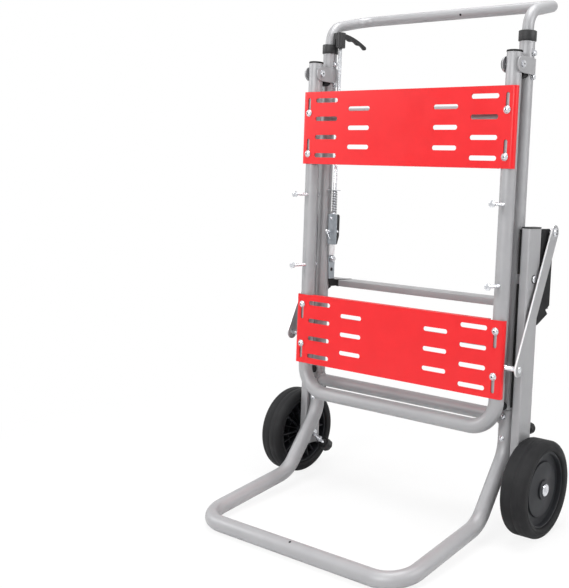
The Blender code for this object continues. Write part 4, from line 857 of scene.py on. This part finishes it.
def make_clamp_bolts():
    """The bolts and washers that clamp the panels to the table tubes."""
    for panel, _, _, _, heights, _ in PANELS:
        for _, name, x in SIDES:
            for number, height in enumerate(heights, start=1):
                place = at((x, PANEL_FRONT_Y - HAIR, height), FRONT)
                mesh = bmesh.new()
                add_shank(mesh, *CLAMP_SHANK, place)
                add_washer(mesh, CLAMP_WASHER, 0, place)
                add_dome(mesh, CLAMP_DOME, CLAMP_WASHER[2], place)
                label = "%s_clamp_%s_%d" % (panel, name, number)
                piece(label, mesh, "table", "bright zinc")
                mesh = bmesh.new()
                # The socket is a dark plug: painted shade.
                add_socket(mesh, CLAMP_SOCKET, CLAMP_SOCKET_TOP, place)
                piece(label + "_socket", mesh, "table", "black and painted shade")


def make_leg_bolts():
    """Bolts through the legs that hold the handle and the toe loop."""
    for _, name, x in SIDES:
        mesh = bmesh.new()
        for height in HANDLE_BOLT_HEIGHTS:
            place = at((x, 0, height), RIGHT)
            add_washer(mesh, HANDLE_WASHER, TUBE_RADIUS - 0.0003, place)
            add_hex(mesh, HANDLE_HEX, TUBE_RADIUS + 0.0008, place)
            if height > HINGE_Z:
                add_dome(mesh, HANDLE_DOME, TUBE_RADIUS - 0.0004, at((x, 0, height), LEFT))
        piece("handle_bolts_" + name, mesh, "frame", "bright zinc")
        mesh = bmesh.new()
        for height in SLEEVE_BOLT_HEIGHTS:
            place = at((x, 0, height), FRONT)
            add_washer(mesh, SLEEVE_WASHER, TOE_RADIUS - 0.0004, place)
            add_dome(mesh, SLEEVE_DOME, TOE_RADIUS + 0.0006, place)
            tip = TOE_RADIUS + 0.0040
            add_turned(mesh, [(0, tip), (0.0016, tip), (0, TOE_RADIUS + 0.003)], place, steps=6)
        piece("sleeve_bolts_" + name, mesh, "frame", "bright zinc")


def make_pivot_bolts():
    """The wheel frame's pivot bolts, low domed outside with nuts inside the legs."""
    head = [(0, 0.0039), (0.0050, 0.0036), (0.0066, 0.0030), (0.0073, 0.0022), (0.0073, 0.0010), (0, 0.0010)]
    for side, name, x in SIDES:
        out = at((x, PIVOT.y, PIVOT.z), (side, 0, 0))
        inward = at((x, PIVOT.y, PIVOT.z), (-side, 0, 0))
        mesh = bmesh.new()
        low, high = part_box("pivot_bolt_" + name)
        reach = abs((high if side < 0 else low).x) - HALF_TRACK
        add_shank(mesh, PIVOT_SHANK_RADIUS, reach, ARM_OUTER + 0.001, out)
        add_turned(mesh, [(radius, ARM_OUTER + height) for radius, height in head], out, steps=36)
        nut = TUBE_RADIUS + PIVOT_NUT_LIFTS[name]
        add_hex(mesh, PIVOT_NUT, nut, inward)
        add_shank(mesh, BOLT_RADIUS, nut, nut + PIVOT_TAIL, inward, THREAD_PITCH)
        piece("pivot_screw_" + name, mesh, "frame", "bright zinc", ["pivot_bolt_" + name])
        mesh = bmesh.new()
        add_washer(mesh, PIVOT_WASHER, ARM_OUTER + HAIR, out)
        # The slot is a dark bar on the dome: painted shade in it.
        slot = rectangle(-PIVOT_SLOT[0], -PIVOT_SLOT[1], *PIVOT_SLOT)
        add_prism(mesh, slot, ARM_OUTER + 0.0030, ARM_OUTER + 0.0041, out)
        piece("pivot_disc_" + name, mesh, "frame", "black plastic")


def make_studs_and_axles():
    """Strut studs on the table tube and axle bolts with their caps."""
    shoulder = STRUT_INNER - SEAT_GAP
    end = STRUT_INNER + STRUT_THICKNESS + SEAT_GAP
    post = [(0, shoulder), (0.0056, shoulder), (0.006, shoulder - 0.0004), (0.006, 0.0165), (0.0072, 0.0150),
            (0, 0.0150)]
    face = WHEEL.x - HALF_TRACK + HUB_HALF + SEAT_GAP
    cap = [(0, 0.0016), (0.0052, 0.0018), (0.0075, 0.0030), (0.0115, 0.0030), (0.0125, 0.0020),
           (0.0125, 0), (0, 0)]
    for side, name, x in SIDES:
        out = at((x, TABLE_Y, STRUT_FOOT.z), (side, 0, 0))
        mesh = bmesh.new()
        add_turned(mesh, post, out)
        add_shank(mesh, BOLT_RADIUS, shoulder, end + 0.0015, out)
        add_washer(mesh, STUD_WASHER, end - HAIR, out)
        add_dome(mesh, STUD_DOME, end + 0.0006, out)
        piece("strut_post_" + name, mesh, "table", "bright zinc", ["strut_stud_" + name])

        out = at((x, WHEEL.y, WHEEL.z), (side, 0, 0))
        mesh = bmesh.new()
        add_shank(mesh, AXLE_RADIUS, AXLE_START, face, out)
        add_hex(mesh, AXLE_NUT, -ARM_INNER + SEAT_GAP, at((x, WHEEL.y, WHEEL.z), (-side, 0, 0)))
        add_turned(mesh, [(radius, face + height) for radius, height in cap], out, steps=48)
        piece("axle_bolt_" + name, mesh, "wheel_frame", "bright zinc", ["axle_" + name])


# Black mouldings and rubber

def make_collars_and_caps():
    """Collars at the leg tops and plugs in the open tube ends."""
    collar = [(0.0123, 0.0205), (0.0168, 0.0205), (0.0178, 0.0200), (0.0182, 0.0190), (0.0182, 0.0012),
              (0.0178, 0.0003), (0.0168, 0), (0.0123, 0)]
    plug = [(0, 0.0042), (0.0140, 0.0042), (0.0156, 0.0038), (0.0163, 0.0030), (0.0163, 0.0003),
            (0.0133, 0.0003), (0.0133, -0.010), (0, -0.010)]
    for _, name, x in SIDES:
        mesh = bmesh.new()
        add_turned(mesh, collar, at((x, 0, LEG_TOP_Z + SEAT_GAP)), steps=64)
        piece("leg_collar_" + name, mesh, "frame", "black plastic", ["collar_" + name])
        mesh = bmesh.new()
        add_turned(mesh, plug, at((x, TABLE_Y, TABLE_TOP_Z)), steps=56)
        piece("tube_plug_" + name, mesh, "table", "black and painted shade", ["table_cap_" + name])


def make_bumpers_and_pads():
    """Rubber bumpers on the legs, stop blocks under the brackets and pads behind the arms."""
    rear = -TUBE_RADIUS - SEAT_GAP
    length = rear - (TABLE_Y + TUBE_RADIUS + SEAT_GAP)
    bumper = [(0, length), (0.0060, length), (0.0080, length - 0.0012), (0.0085, length - 0.0028),
              (0.0085, 0.0005), (0.0080, 0), (0, 0)]
    pad = [(0, 0.0200), (0.0085, 0.0200), (0.0108, 0.0188), (0.0118, 0.0165), (0.0120, 0.0140),
           (0.0120, 0), (0, 0)]
    for side, name, x in SIDES:
        mesh = bmesh.new()
        add_turned(mesh, bumper, at((x, rear, BUMPER_Z), FRONT), steps=40)
        piece("leg_bumper_" + name, mesh, "frame", "black rubber", ["bumper_" + name])
        mesh = bmesh.new()
        add_prism(mesh, [(x + out, z) for out, z in STOP_BLOCK_SHAPE], *STOP_BLOCK_Y, FACING)
        piece("stop_block_" + name, mesh, "frame", "black rubber", bevel=0.001)
        mesh = bmesh.new()
        place = (side * (HALF_TRACK + ARM_CENTRE), ARM_REAR_Y + SEAT_GAP, PAD_Z)
        add_turned(mesh, pad, at(place, REAR), steps=44)
        piece("arm_pad_" + name, mesh, "wheel_frame", "black rubber", ["pad_" + name])


def make_feet():
    """Levelling feet: threaded screws with lock nuts and lobed knobs."""
    run = Vector((0, TOE_ANKLE[0], TOE_ANKLE[1] - TOE_KNEE_Z)).normalized()
    out = Vector((0, -run.z, run.y))
    low = FOOT_REACH - FOOT_TRAVEL
    high = FOOT_REACH + FOOT_TRAVEL
    knob = fluted(FOOT_RADIUS, FOOT_FLUTE, flutes=8, steps=72)
    sole = [(0, high), (0.0118, high), (0.0128, high - 0.0012), (0, high - 0.0012)]
    neck = [(0, low + 0.001), (0.009, low + 0.001), (0.007, low - 0.004), (0, low - 0.004)]
    for _, name, x in SIDES:
        place = at(Vector((x, 0, TOE_KNEE_Z)) + run * FOOT_START, out)
        mesh = bmesh.new()
        add_prism(mesh, knob, low, high - 0.001, place)
        add_turned(mesh, sole, place, steps=40)
        add_turned(mesh, neck, place)
        piece("foot_knob_" + name, mesh, name + "_foot", "black plastic", ["foot_" + name], bevel=0.0008)
        mesh = bmesh.new()
        add_shank(mesh, BOLT_RADIUS, TOE_RADIUS - FOOT_ROOT_DEPTH, low, place, THREAD_PITCH)
        add_hex(mesh, FOOT_NUT, FOOT_NUT_BASE, place)
        piece("foot_screw_" + name, mesh, name + "_foot", "bright zinc")


# Panels

def panel_slots(low, high, heights, away):
    """The panel's slots as a cutting shape: rows at each side, and the clamps' slots along the travel."""
    cutter = bmesh.new()
    middle = (low + high) / 2
    for side, _, leg_x in SIDES:
        for x, length, pitch, count in (OUTER_SLOTS, INNER_SLOTS):
            half = length / 2 - SLOT_RADIUS
            for i in range(count):
                z = middle + (i - (count - 1) / 2) * pitch
                slot = capsule((side * x - half, z), (side * x + half, z), SLOT_RADIUS)
                add_prism(cutter, slot, *SLOT_CUT, FACING)
        for height in heights:
            ends = sorted((height, height + away * CLAMP_TRAVEL))
            slot = capsule((leg_x, ends[0]), (leg_x, ends[1]), CLAMP_SLOT_RADIUS)
            add_prism(cutter, slot, *SLOT_CUT, FACING)
    return cutter


def make_panels():
    """Slotted panels bent from sheet, with round bends and soft slot edges."""
    bend = (PANEL_WIDTH - PANEL_BEND, PANEL_FRONT_Y + PANEL_BEND)
    outer = [(PANEL_WIDTH, FLANGE_REAR_Y)] + arc(bend, PANEL_BEND, 0, -pi / 2, 14)
    inner = [(PANEL_WIDTH - SHEET, FLANGE_REAR_Y)] + arc(bend, PANEL_BEND - SHEET, 0, -pi / 2, 14)
    outline = outer + [(-x, y) for x, y in outer[::-1]] + [(-x, y) for x, y in inner] + inner[::-1]
    lip = rectangle(-LIP_END_X, LIP_FRONT_Y, LIP_END_X, PANEL_FRONT_Y + SHEET / 2 + LIP_DEPTH)
    for name, body, low, high, heights, away in PANELS:
        mesh = bmesh.new()
        add_prism(mesh, outline, low, high)
        panel = piece(name + "_sheet", mesh, body, "red coat", [name], smooth=30)
        lips = bmesh.new()
        for z in (low, high - SHEET):
            add_prism(lips, lip, z, z + SHEET)
        carve(panel, lips, "UNION")
        carve(panel, panel_slots(low, high, heights, away), "DIFFERENCE")
        soften(panel, 0.0005)


# Wheels and struts

def make_wheels():
    """Solid tyres with round shoulders and sidewall rings, on ribbed hubs."""
    half = HALF_TYRE
    wall = [(RIM_RADIUS, half - 0.0035), (0.0795, half - 0.0012), (0.0815, half - 0.0003), (0.0838, half),
            (0.0850, half), (0.0856, half - 0.0008), (0.0862, half)]
    wall += arc((TYRE_RADIUS - TYRE_SHOULDER, half - TYRE_SHOULDER), TYRE_SHOULDER, pi / 2, radians(8), 12)
    wall += [(TYRE_RADIUS, half - 0.0135), (TYRE_RADIUS - 0.0002, half - 0.0155)]
    tread = [(TYRE_RADIUS, half - 0.0160), (TYRE_RADIUS, 0.0006), (TYRE_RADIUS - 0.0004, 0),
             (TYRE_RADIUS, -0.0006), (TYRE_RADIUS, -half + 0.0160)]
    tyre = wall + tread + [(radius, -height) for radius, height in wall[::-1]]
    well = HUB_WELL_RADIUS
    face = HUB_HALF
    hub = [
        (0.0063, face), (0.0188, face), (0.0200, face - 0.0010), (0.0203, face - 0.0044),
        (0.0215, face - 0.0050), (0.0540, face - 0.0052), (0.0560, face - 0.0060), (0.0575, face - 0.0098),
        (0.0585, face - 0.0104), (well - 0.0020, face - 0.0104), (well, face - 0.0095),
        (well + 0.0005, face - 0.0008), (well + 0.0012, face), (RIM_RADIUS - 0.0009, face),
        (RIM_RADIUS - 0.0003, face - 0.0008), (RIM_RADIUS - 0.0003, -face), (well, -face),
        (well - 0.0012, face - 0.0155), (0.0208, face - 0.0155), (0.0195, -half + 0.001),
        (0.0185, -half), (0.0063, -half),
    ]
    hoop = [(0.0460, face - 0.015), (0.0478, face - 0.015), (0.0476, -0.0150), (0.0462, -0.0150)]
    for side, name, _ in SIDES:
        place = at((side * WHEEL.x, WHEEL.y, WHEEL.z), (side, 0, 0))
        mesh = bmesh.new()
        add_turned(mesh, tyre, place, steps=112)
        piece("tyre_ring_" + name, mesh, name + "_wheel", "tyre rubber", ["tyre_" + name], smooth=50)
        mesh = bmesh.new()
        add_turned(mesh, hub, place, steps=112)
        for i in range(SPOKE_COUNT):
            turn = place @ Matrix.Rotation(2 * pi * i / SPOKE_COUNT, 4, "Z")
            depth, thick = SPOKES[i % 2]
            add_prism(mesh, rectangle(SPOKE_ROOT, -thick, well, thick), depth, face - 0.0150, turn)
        add_turned(mesh, hoop, place, steps=96)
        piece("hub_" + name + "_moulding", mesh, name + "_wheel", "hub plastic", ["hub_" + name], smooth=35)


def make_struts():
    """Flat struts with round ends, and the bolt at each upper end."""
    outline = capsule((STRUT_FOOT.y, STRUT_FOOT.z), STRUT_HEAD, STRUT_RADIUS, 24)
    inner = HALF_TRACK + STRUT_INNER
    outer = inner + STRUT_THICKNESS
    for side, name, _ in SIDES:
        mesh = bmesh.new()
        add_plate(mesh, outline, side, inner, outer)
        body = name + "_strut"
        bar = piece("strut_bar_" + name, mesh, body, "silver coat", ["strut_" + name], bevel=0.0005)
        # The edge faces get the near-white silver: a painted highlight along the strut's edges.
        bar.data.materials.append(finishes["silver in painted highlight"])
        for face in bar.data.polygons:
            if abs(face.normal.x) < 0.5:
                face.material_index = 1
        out = at((side * outer, *STRUT_HEAD), (side, 0, 0))
        mesh = bmesh.new()
        add_washer(mesh, STRUT_WASHER, -0.0001, out)
        add_dome(mesh, STRUT_DOME, 0.0009, out)
        piece("strut_screw_" + name, mesh, body, "bright zinc")
        mesh = bmesh.new()
        # The slot is a dark bar on the dome: painted shade in it.
        add_prism(mesh, rectangle(-STRUT_SLOT[0], -STRUT_SLOT[1], *STRUT_SLOT), 0.0022, 0.0042, out)
        piece("strut_slot_" + name, mesh, body, "black and painted shade")


def make_arm_slit_shade():
    """Dark sheets on the arms' inner faces that close the slit beside the legs: painted shade of the slit."""
    near = HALF_TRACK + TUBE_RADIUS + SLIT_SHADE_GAP
    far = HALF_TRACK + ARM_INNER - HAIR
    front, rear = SLIT_SHADE_Y
    for side, name, _ in SIDES:
        mesh = bmesh.new()
        for low, high in (
            (SLIT_SHADE_LOW_Z, PIVOT.z - SLIT_SHADE_PIVOT_ROOM),
            (PIVOT.z + SLIT_SHADE_PIVOT_ROOM, TRAY_TOP_Z - 0.001),
        ):
            add_plate(mesh, rectangle(front, low, rear, high), side, near, far)
        piece("arm_slit_shade_" + name, mesh, "wheel_frame", "black and painted shade")


def beam_outline(grow=0.0):
    """The beam's section with round corners, grown a little for the sheath of painted shadow over its end."""
    outline = []
    for y, way_y, z, way_z, start in (
        (BEAM_REAR_Y, -1, BEAM_TOP_Z, -1, 0),
        (BEAM_FRONT_Y, 1, BEAM_TOP_Z, -1, pi / 2),
        (BEAM_FRONT_Y, 1, BEAM_BOTTOM_Z, 1, pi),
        (BEAM_REAR_Y, -1, BEAM_BOTTOM_Z, 1, 3 * pi / 2),
    ):
        centre = (y + way_y * BEAM_CORNER, z + way_z * BEAM_CORNER)
        outline += arc(centre, BEAM_CORNER + grow, start, start + pi / 2, 6)
    return outline


def make_trays():
    """Sheet brackets behind the arms, with a turned rim and the strut's boss, and the beam between. The
    brackets are painted near black as painted shade, and a dark sheath on the beam's left end is a painted
    shadow.
    """
    outer = HALF_TRACK + ARM_OUTER - HAIR
    front = ARM_REAR_Y + SEAT_GAP
    outline = [(front, TRAY_TOP_Z), (front, TRAY_TOE_Z)] + TRAY_REAR + [(TRAY_REAR_Y, TRAY_TOP_Z)]
    rim = rectangle(front, TRAY_TOP_Z - SHEET, TRAY_REAR_Y, TRAY_TOP_Z)
    reach = HALF_TRACK + STRUT_INNER - outer - SEAT_GAP
    boss = [(0, reach), (0.0075, reach), (0.0082, reach - 0.0006), (0.0082, -0.0001), (0, -0.0001)]
    for side, name, _ in SIDES:
        mesh = bmesh.new()
        add_plate(mesh, outline, side, outer - SHEET, outer)
        add_plate(mesh, rim, side, outer - TRAY_RIM, outer - SHEET)
        # The bracket's silver is painted near black: painted shade from the strut and arm.
        piece("tray_sheet_" + name, mesh, "wheel_frame", "silver in painted shade", ["tray_" + name], SOFT_EDGE)
        mesh = bmesh.new()
        add_turned(mesh, boss, at((side * outer, *STRUT_HEAD), (side, 0, 0)))
        piece("strut_boss_" + name, mesh, "wheel_frame", "bright zinc")
    mesh = bmesh.new()
    half = HALF_TRACK + ARM_OUTER - SHEET - 0.0004
    add_prism(mesh, beam_outline(), -half, half, SIDEWAYS)
    piece("beam_tube", mesh, "wheel_frame", "silver coat", ["beam"])
    # A dark sheath over the beam's left end: the leg's shadow, painted.
    mesh = bmesh.new()
    add_prism(mesh, beam_outline(BEAM_SHADOW_GROWTH), LOCK_PLATE_FACES[0], BEAM_SHADOW_END, SIDEWAYS)
    piece("beam_end_shadow", mesh, "wheel_frame", "silver in painted shade")


# Lock and trigger

def make_rod_and_spring():
    """The lock rod with its collar, and the spring round it."""
    low, high = ROD_ENDS
    seat = ROD_COLLAR_Z
    profile = [(0, high), (0.0034, high), (ROD_RADIUS, high - 0.0008), (ROD_RADIUS, seat + 0.0012),
               (0.0063, seat + 0.0012), (0.0065, seat + 0.0009), (0.0065, seat), (ROD_RADIUS, seat),
               (ROD_RADIUS, low + 0.0012), (0.0030, low), (0, low)]
    mesh = bmesh.new()
    add_turned(mesh, profile, at((ROD_X, 0, 0)), steps=36)
    piece("lock_rod_bar", mesh, "lock_rod", "bright zinc", ["trigger_rod"])

    path = []
    low, high = SPRING_ENDS
    count = SPRING_TURNS * SPRING_STEPS
    for i in range(count + 1):
        angle = 2 * pi * i / SPRING_STEPS
        height = low + (high - low) * i / count
        path.append((ROD_X + SPRING_RADIUS * cos(angle), SPRING_RADIUS * sin(angle), height))
    mesh = bmesh.new()
    add_sweep(mesh, path, SPRING_WIRE, sides=10)
    # The spring's zinc is painted dark: painted shade between the coils.
    spring = piece("rod_spring", mesh, "frame", "spring zinc in painted shade", ["lock_spring"])
    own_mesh(spring)


def make_housing():
    """The pressed housing that guides the rod, its black cover, its small fasteners and the latch bar."""
    left, right = HOUSING_SIDES
    upper = HOUSING_HIGH_Z - HOUSING_CORNER
    mesh = bmesh.new()
    outline = [(left, HOUSING_LOW_Z), (right, HOUSING_LOW_Z)]
    outline += arc((right - HOUSING_CORNER, upper), HOUSING_CORNER, 0, pi / 2, 6)
    outline += arc((left + HOUSING_CORNER, upper), HOUSING_CORNER, pi / 2, pi, 6)
    add_prism(mesh, outline, *HOUSING_FACE, FACING)
    add_prism(mesh, rectangle(left, HOUSING_LOW_Z, left + HOUSING_SIDE_SHEET, upper), *HOUSING_SIDE, FACING)
    piece("housing_plate", mesh, "frame", "dull zinc", ["lock_housing"], SOFT_EDGE)

    mesh = bmesh.new()
    foot = HOUSING_LOW_Z + 0.0005
    knee = HOUSING_LOW_Z + HOUSING_KNEE
    shoulder = HOUSING_HIGH_Z - HOUSING_SHOULDER
    inner, middle, outer = COVER_FRONT
    outline = [(COVER_REAR, foot), (-0.0016, foot), (middle, knee), (middle, shoulder),
               (0.0020, HOUSING_HIGH_Z), (COVER_REAR, HOUSING_HIGH_Z)]
    add_prism(mesh, outline, right - COVER_DEPTH, right - HAIR, SIDEWAYS)
    strip = rectangle(inner, knee, outer, shoulder)
    add_prism(mesh, strip, left - 0.0030, right - COVER_DEPTH, SIDEWAYS)
    piece("housing_cover", mesh, "frame", "black plastic", bevel=0.0006)

    mesh = bmesh.new()
    face = HOUSING_FACE[1]
    add_dome(mesh, HOUSING_SCREW, face, at(HOUSING_SCREW_PLACE, FRONT))
    add_dome(mesh, HOUSING_RIVET, 0, at((right - HAIR, *HOUSING_RIVET_PLACE), RIGHT))
    bolt = at((left + 0.0005, 0, HOUSING_BOLT_Z), FRONT)
    add_washer(mesh, HOUSING_WASHER, face, bolt)
    add_hex(mesh, HOUSING_HEX, face + HOUSING_WASHER[2], bolt)
    add_sweep(mesh, [(left + x, y, z) for x, y, z in HOUSING_WIRE], HOUSING_WIRE_RADIUS, sides=10)
    piece("housing_screws", mesh, "frame", "bright zinc")

    mesh = bmesh.new()
    low, high = LATCH_ENDS
    left, right = LATCH_SIDES
    add_prism(mesh, rectangle(left, low, right, high), -LATCH_HALF_THICKNESS, LATCH_HALF_THICKNESS, FACING)
    # The latch bar is near white: painted highlight.
    piece("latch_bar", mesh, "lock_rod", "silver in painted highlight", bevel=0.0005)


def make_lock_plate():
    """The narrow lock plate beside the leg, with its hole and its foot on the beam, painted near black as
    shade.
    """
    mesh = bmesh.new()
    rear = LOCK_PLATE_REAR_Y
    front = PIVOT.y - LOCK_PLATE_NOSE
    corner = LOCK_PLATE_CORNER
    outline = [(front, PIVOT.z), (front + 0.003, LOCK_FOOT_Z), (rear, LOCK_FOOT_Z)]
    outline += arc((rear - corner, PIVOT.z + 0.001), corner, 0, pi / 2, 8)
    outline += arc((front + corner, PIVOT.z + 0.001), corner, pi / 2, pi, 8)
    low, high = LOCK_PLATE_FACES
    add_prism(mesh, outline, low, high, SIDEWAYS)
    plate = piece("lock_sheet", mesh, "wheel_frame", "dull zinc", ["lock_plate"])
    hole = bmesh.new()
    add_rod(hole, LOCK_HOLE_RADIUS, (-0.005, 0.005), at(((low + high) / 2, *LOCK_HOLE), RIGHT), steps=28)
    carve(plate, hole, "DIFFERENCE")
    soften(plate, 0.0003)
    # The foot is painted near black: painted shade at the beam's left end.
    mesh = bmesh.new()
    foot = BEAM_FRONT_Y + 0.010
    floor = BEAM_BOTTOM_Z + 0.001
    joint = LOCK_FOOT_Z - 0.0001
    outline = [(front + 0.003, joint), (front + 0.009, floor), (foot, floor), (foot, BEAM_TOP_Z + 0.0008),
               (rear + 0.002, BEAM_TOP_Z + 0.0022), (rear, joint)]
    add_prism(mesh, outline, low, high, SIDEWAYS)
    piece("lock_foot", mesh, "wheel_frame", "silver in painted shade", bevel=0.0003)


def make_trigger_body():
    """The fluted trigger body, with its arm on the collar, the lever's slot and the rod's well."""
    place = at((ROD_X, 0, 0))
    mesh = bmesh.new()
    add_prism(mesh, fluted(TRIGGER_RADIUS, TRIGGER_FLUTE, flutes=10, steps=120), *TRIGGER_ENDS, place)
    head = piece("trigger_body", mesh, "frame", "black plastic", ["trigger_head"], smooth=50)
    arm = bmesh.new()
    add_prism(arm, TRIGGER_ARM, -TRIGGER_ARM_HALF, TRIGGER_ARM_HALF, FACING)
    carve(head, arm, "UNION")
    slot = bmesh.new()
    add_prism(slot, rectangle(*TRIGGER_SLOT), *TRIGGER_SLOT_Z, place)
    carve(head, slot, "DIFFERENCE")
    well = bmesh.new()
    add_rod(well, TRIGGER_WELL_RADIUS, TRIGGER_WELL_Z, place)
    carve(head, well, "DIFFERENCE")
    soften(head, SOFT_EDGE)


def make_trigger_lever():
    """The lever with finger grooves below."""
    top, bottom = [], []
    steps = 60
    for i in range(steps + 1):
        share = i / steps
        y = share * LEVER_LENGTH
        z = LEVER_ROOT - LEVER_DROP * share ** 2
        groove = LEVER_GROOVE * (1 - cos(6 * pi * share)) / 2
        top.append((y, z))
        bottom.append((y, z - LEVER_HEIGHT + LEVER_TAPER * share + groove))
    tip_z = (top[-1][1] + bottom[-1][1]) / 2
    tip = arc((top[-1][0], tip_z), LEVER_TIP, pi / 2, -pi / 2, 14)
    eye = arc((0, 0), LEVER_ROOT, 3 * pi / 2, pi / 2, 20)
    outline = eye[:-1] + top[:-1] + tip + bottom[:0:-1][1:]
    mesh = bmesh.new()
    add_prism(mesh, outline, -LEVER_HALF, LEVER_HALF, Matrix.Translation((ROD_X, *LEVER_PLACE)) @ SIDEWAYS)
    lever = piece("trigger_grip", mesh, "trigger", "black plastic", ["trigger_lever"], smooth=50)
    soften(lever, 0.0018, 4)


def dress_frame_nodes():
    """Give the frame nodes their finish, and soften the edges of those that stay."""
    slots = {entry["node"]: entry["material_slot"] for entry in frame["record"]["subparts"]}
    for name, node in nodes.items():
        node.data.materials.clear()
        node.data.materials.append(finishes[FINISH_OF_SLOT[slots[name]]])
        if name.startswith(("hinge_bracket", "wheel_arm", "arm_cap", "rod_guide")):
            smooth_over(node.data, 28)
            soften(node, SOFT_EDGE)


# Light, floor and camera

def make_lamp(name, place, target, size, power):
    """A square soft lamp that faces a target."""
    data = bpy.data.lights.new(name, "AREA")
    data.shape = "SQUARE"
    data.size = size
    data.energy = power
    lamp = bpy.data.objects.new(name, data)
    lamp.location = place
    lamp.rotation_euler = (Vector(target) - Vector(place)).to_track_quat("-Z", "Y").to_euler()
    bpy.context.scene.collection.objects.link(lamp)


def make_world():
    """White studio surroundings: full white where seen or mirrored, and as light a soft tent, dim below."""
    world = bpy.data.worlds.new("studio")
    bpy.context.scene.world = world
    world.use_nodes = True
    tree = world.node_tree
    background = tree.nodes["Background"]
    background.inputs["Color"].default_value = (1, 1, 1, 1)
    path = tree.nodes.new("ShaderNodeLightPath")
    white = tree.nodes.new("ShaderNodeMath")
    white.operation = "MAXIMUM"
    mirrored = tree.nodes.new("ShaderNodeMath")
    mirrored.operation = "MAXIMUM"
    direction = tree.nodes.new("ShaderNodeTexCoord")
    parts = tree.nodes.new("ShaderNodeSeparateXYZ")
    height = add_node(tree, "ShaderNodeMapRange", {
        "From Min": WORLD_RISE[0],
        "From Max": WORLD_RISE[1],
        "To Min": WORLD_LOW_LEVEL,
        "To Max": WORLD_LEVEL,
    })
    level = add_node(tree, "ShaderNodeMapRange", {"To Max": 1.0})
    link(tree, (direction, "Generated", parts, "Vector"), (parts, "Z", height, "Value"),
         (height, "Result", level, "To Min"), (path, "Is Camera Ray", white, 0),
         (path, "Is Transmission Ray", mirrored, 0), (path, "Is Glossy Ray", mirrored, 1),
         (mirrored, "Value", white, 1), (white, "Value", level, "Value"),
         (level, "Result", background, "Strength"))


def make_floor():
    """A white floor that keeps a faint shadow of the stand and is plain white further out."""
    bpy.ops.mesh.primitive_plane_add(size=FLOOR_SIZE, location=(0, 0, FLOOR_Z))
    floor = bpy.context.object
    floor.name = "studio_floor"
    material = bpy.data.materials.new("floor_white")
    material.use_nodes = True
    tree = material.node_tree
    tree.nodes.clear()
    output = tree.nodes.new("ShaderNodeOutputMaterial")
    paper = add_node(tree, "ShaderNodeBsdfDiffuse", {"Color": (0.9, 0.9, 0.9, 1)})
    glow = add_node(tree, "ShaderNodeEmission", {"Color": (1, 1, 1, 1)})
    path = tree.nodes.new("ShaderNodeLightPath")
    share = tree.nodes.new("ShaderNodeMath")
    share.operation = "MULTIPLY"
    direction = tree.nodes.new("ShaderNodeTexCoord")
    away = tree.nodes.new("ShaderNodeVectorMath")
    away.operation = "LENGTH"
    fade = add_node(tree, "ShaderNodeMapRange", {
        "From Min": FLOOR_FADE[0],
        "From Max": FLOOR_FADE[1],
        "To Min": FLOOR_WHITE_SHARE,
        "To Max": 1.0,
    })
    mix = tree.nodes.new("ShaderNodeMixShader")
    link(tree, (direction, "Object", away, 0), (away, "Value", fade, "Value"), (fade, "Result", share, 1),
         (path, "Is Camera Ray", share, 0), (share, "Value", mix, "Fac"), (paper, "BSDF", mix, 1),
         (glow, "Emission", mix, 2), (mix, "Shader", output, "Surface"))
    floor.data.materials.append(material)


def make_camera():
    """The photograph's view: slightly from above, off to the right, with the stand right of the middle."""
    data = bpy.data.cameras.new("camera")
    data.sensor_fit = "VERTICAL"
    data.sensor_height = CAMERA_SENSOR
    data.lens = CAMERA_LENS
    data.shift_x = CAMERA_SHIFT[0]
    data.shift_y = CAMERA_SHIFT[1]
    camera = bpy.data.objects.new("camera", data)
    camera.location = CAMERA_PLACE
    camera.rotation_euler = (radians(90 - CAMERA_PITCH), 0, radians(CAMERA_YAW))
    bpy.context.scene.collection.objects.link(camera)
    bpy.context.scene.camera = camera


dress_frame_nodes()
make_tubes()
make_welds()
make_drilled_holes()
make_hinge_pins()
make_saw_bolts()
make_clamp_bolts()
make_leg_bolts()
make_pivot_bolts()
make_studs_and_axles()
make_collars_and_caps()
make_bumpers_and_pads()
make_feet()
make_panels()
make_wheels()
make_struts()
make_arm_slit_shade()
make_trays()
make_rod_and_spring()
make_housing()
make_lock_plate()
make_trigger_body()
make_trigger_lever()
make_world()
make_floor()
for lamp_values in LAMPS:
    make_lamp(*lamp_values)
make_camera()
bpy.context.scene.view_settings.view_transform = "Standard"
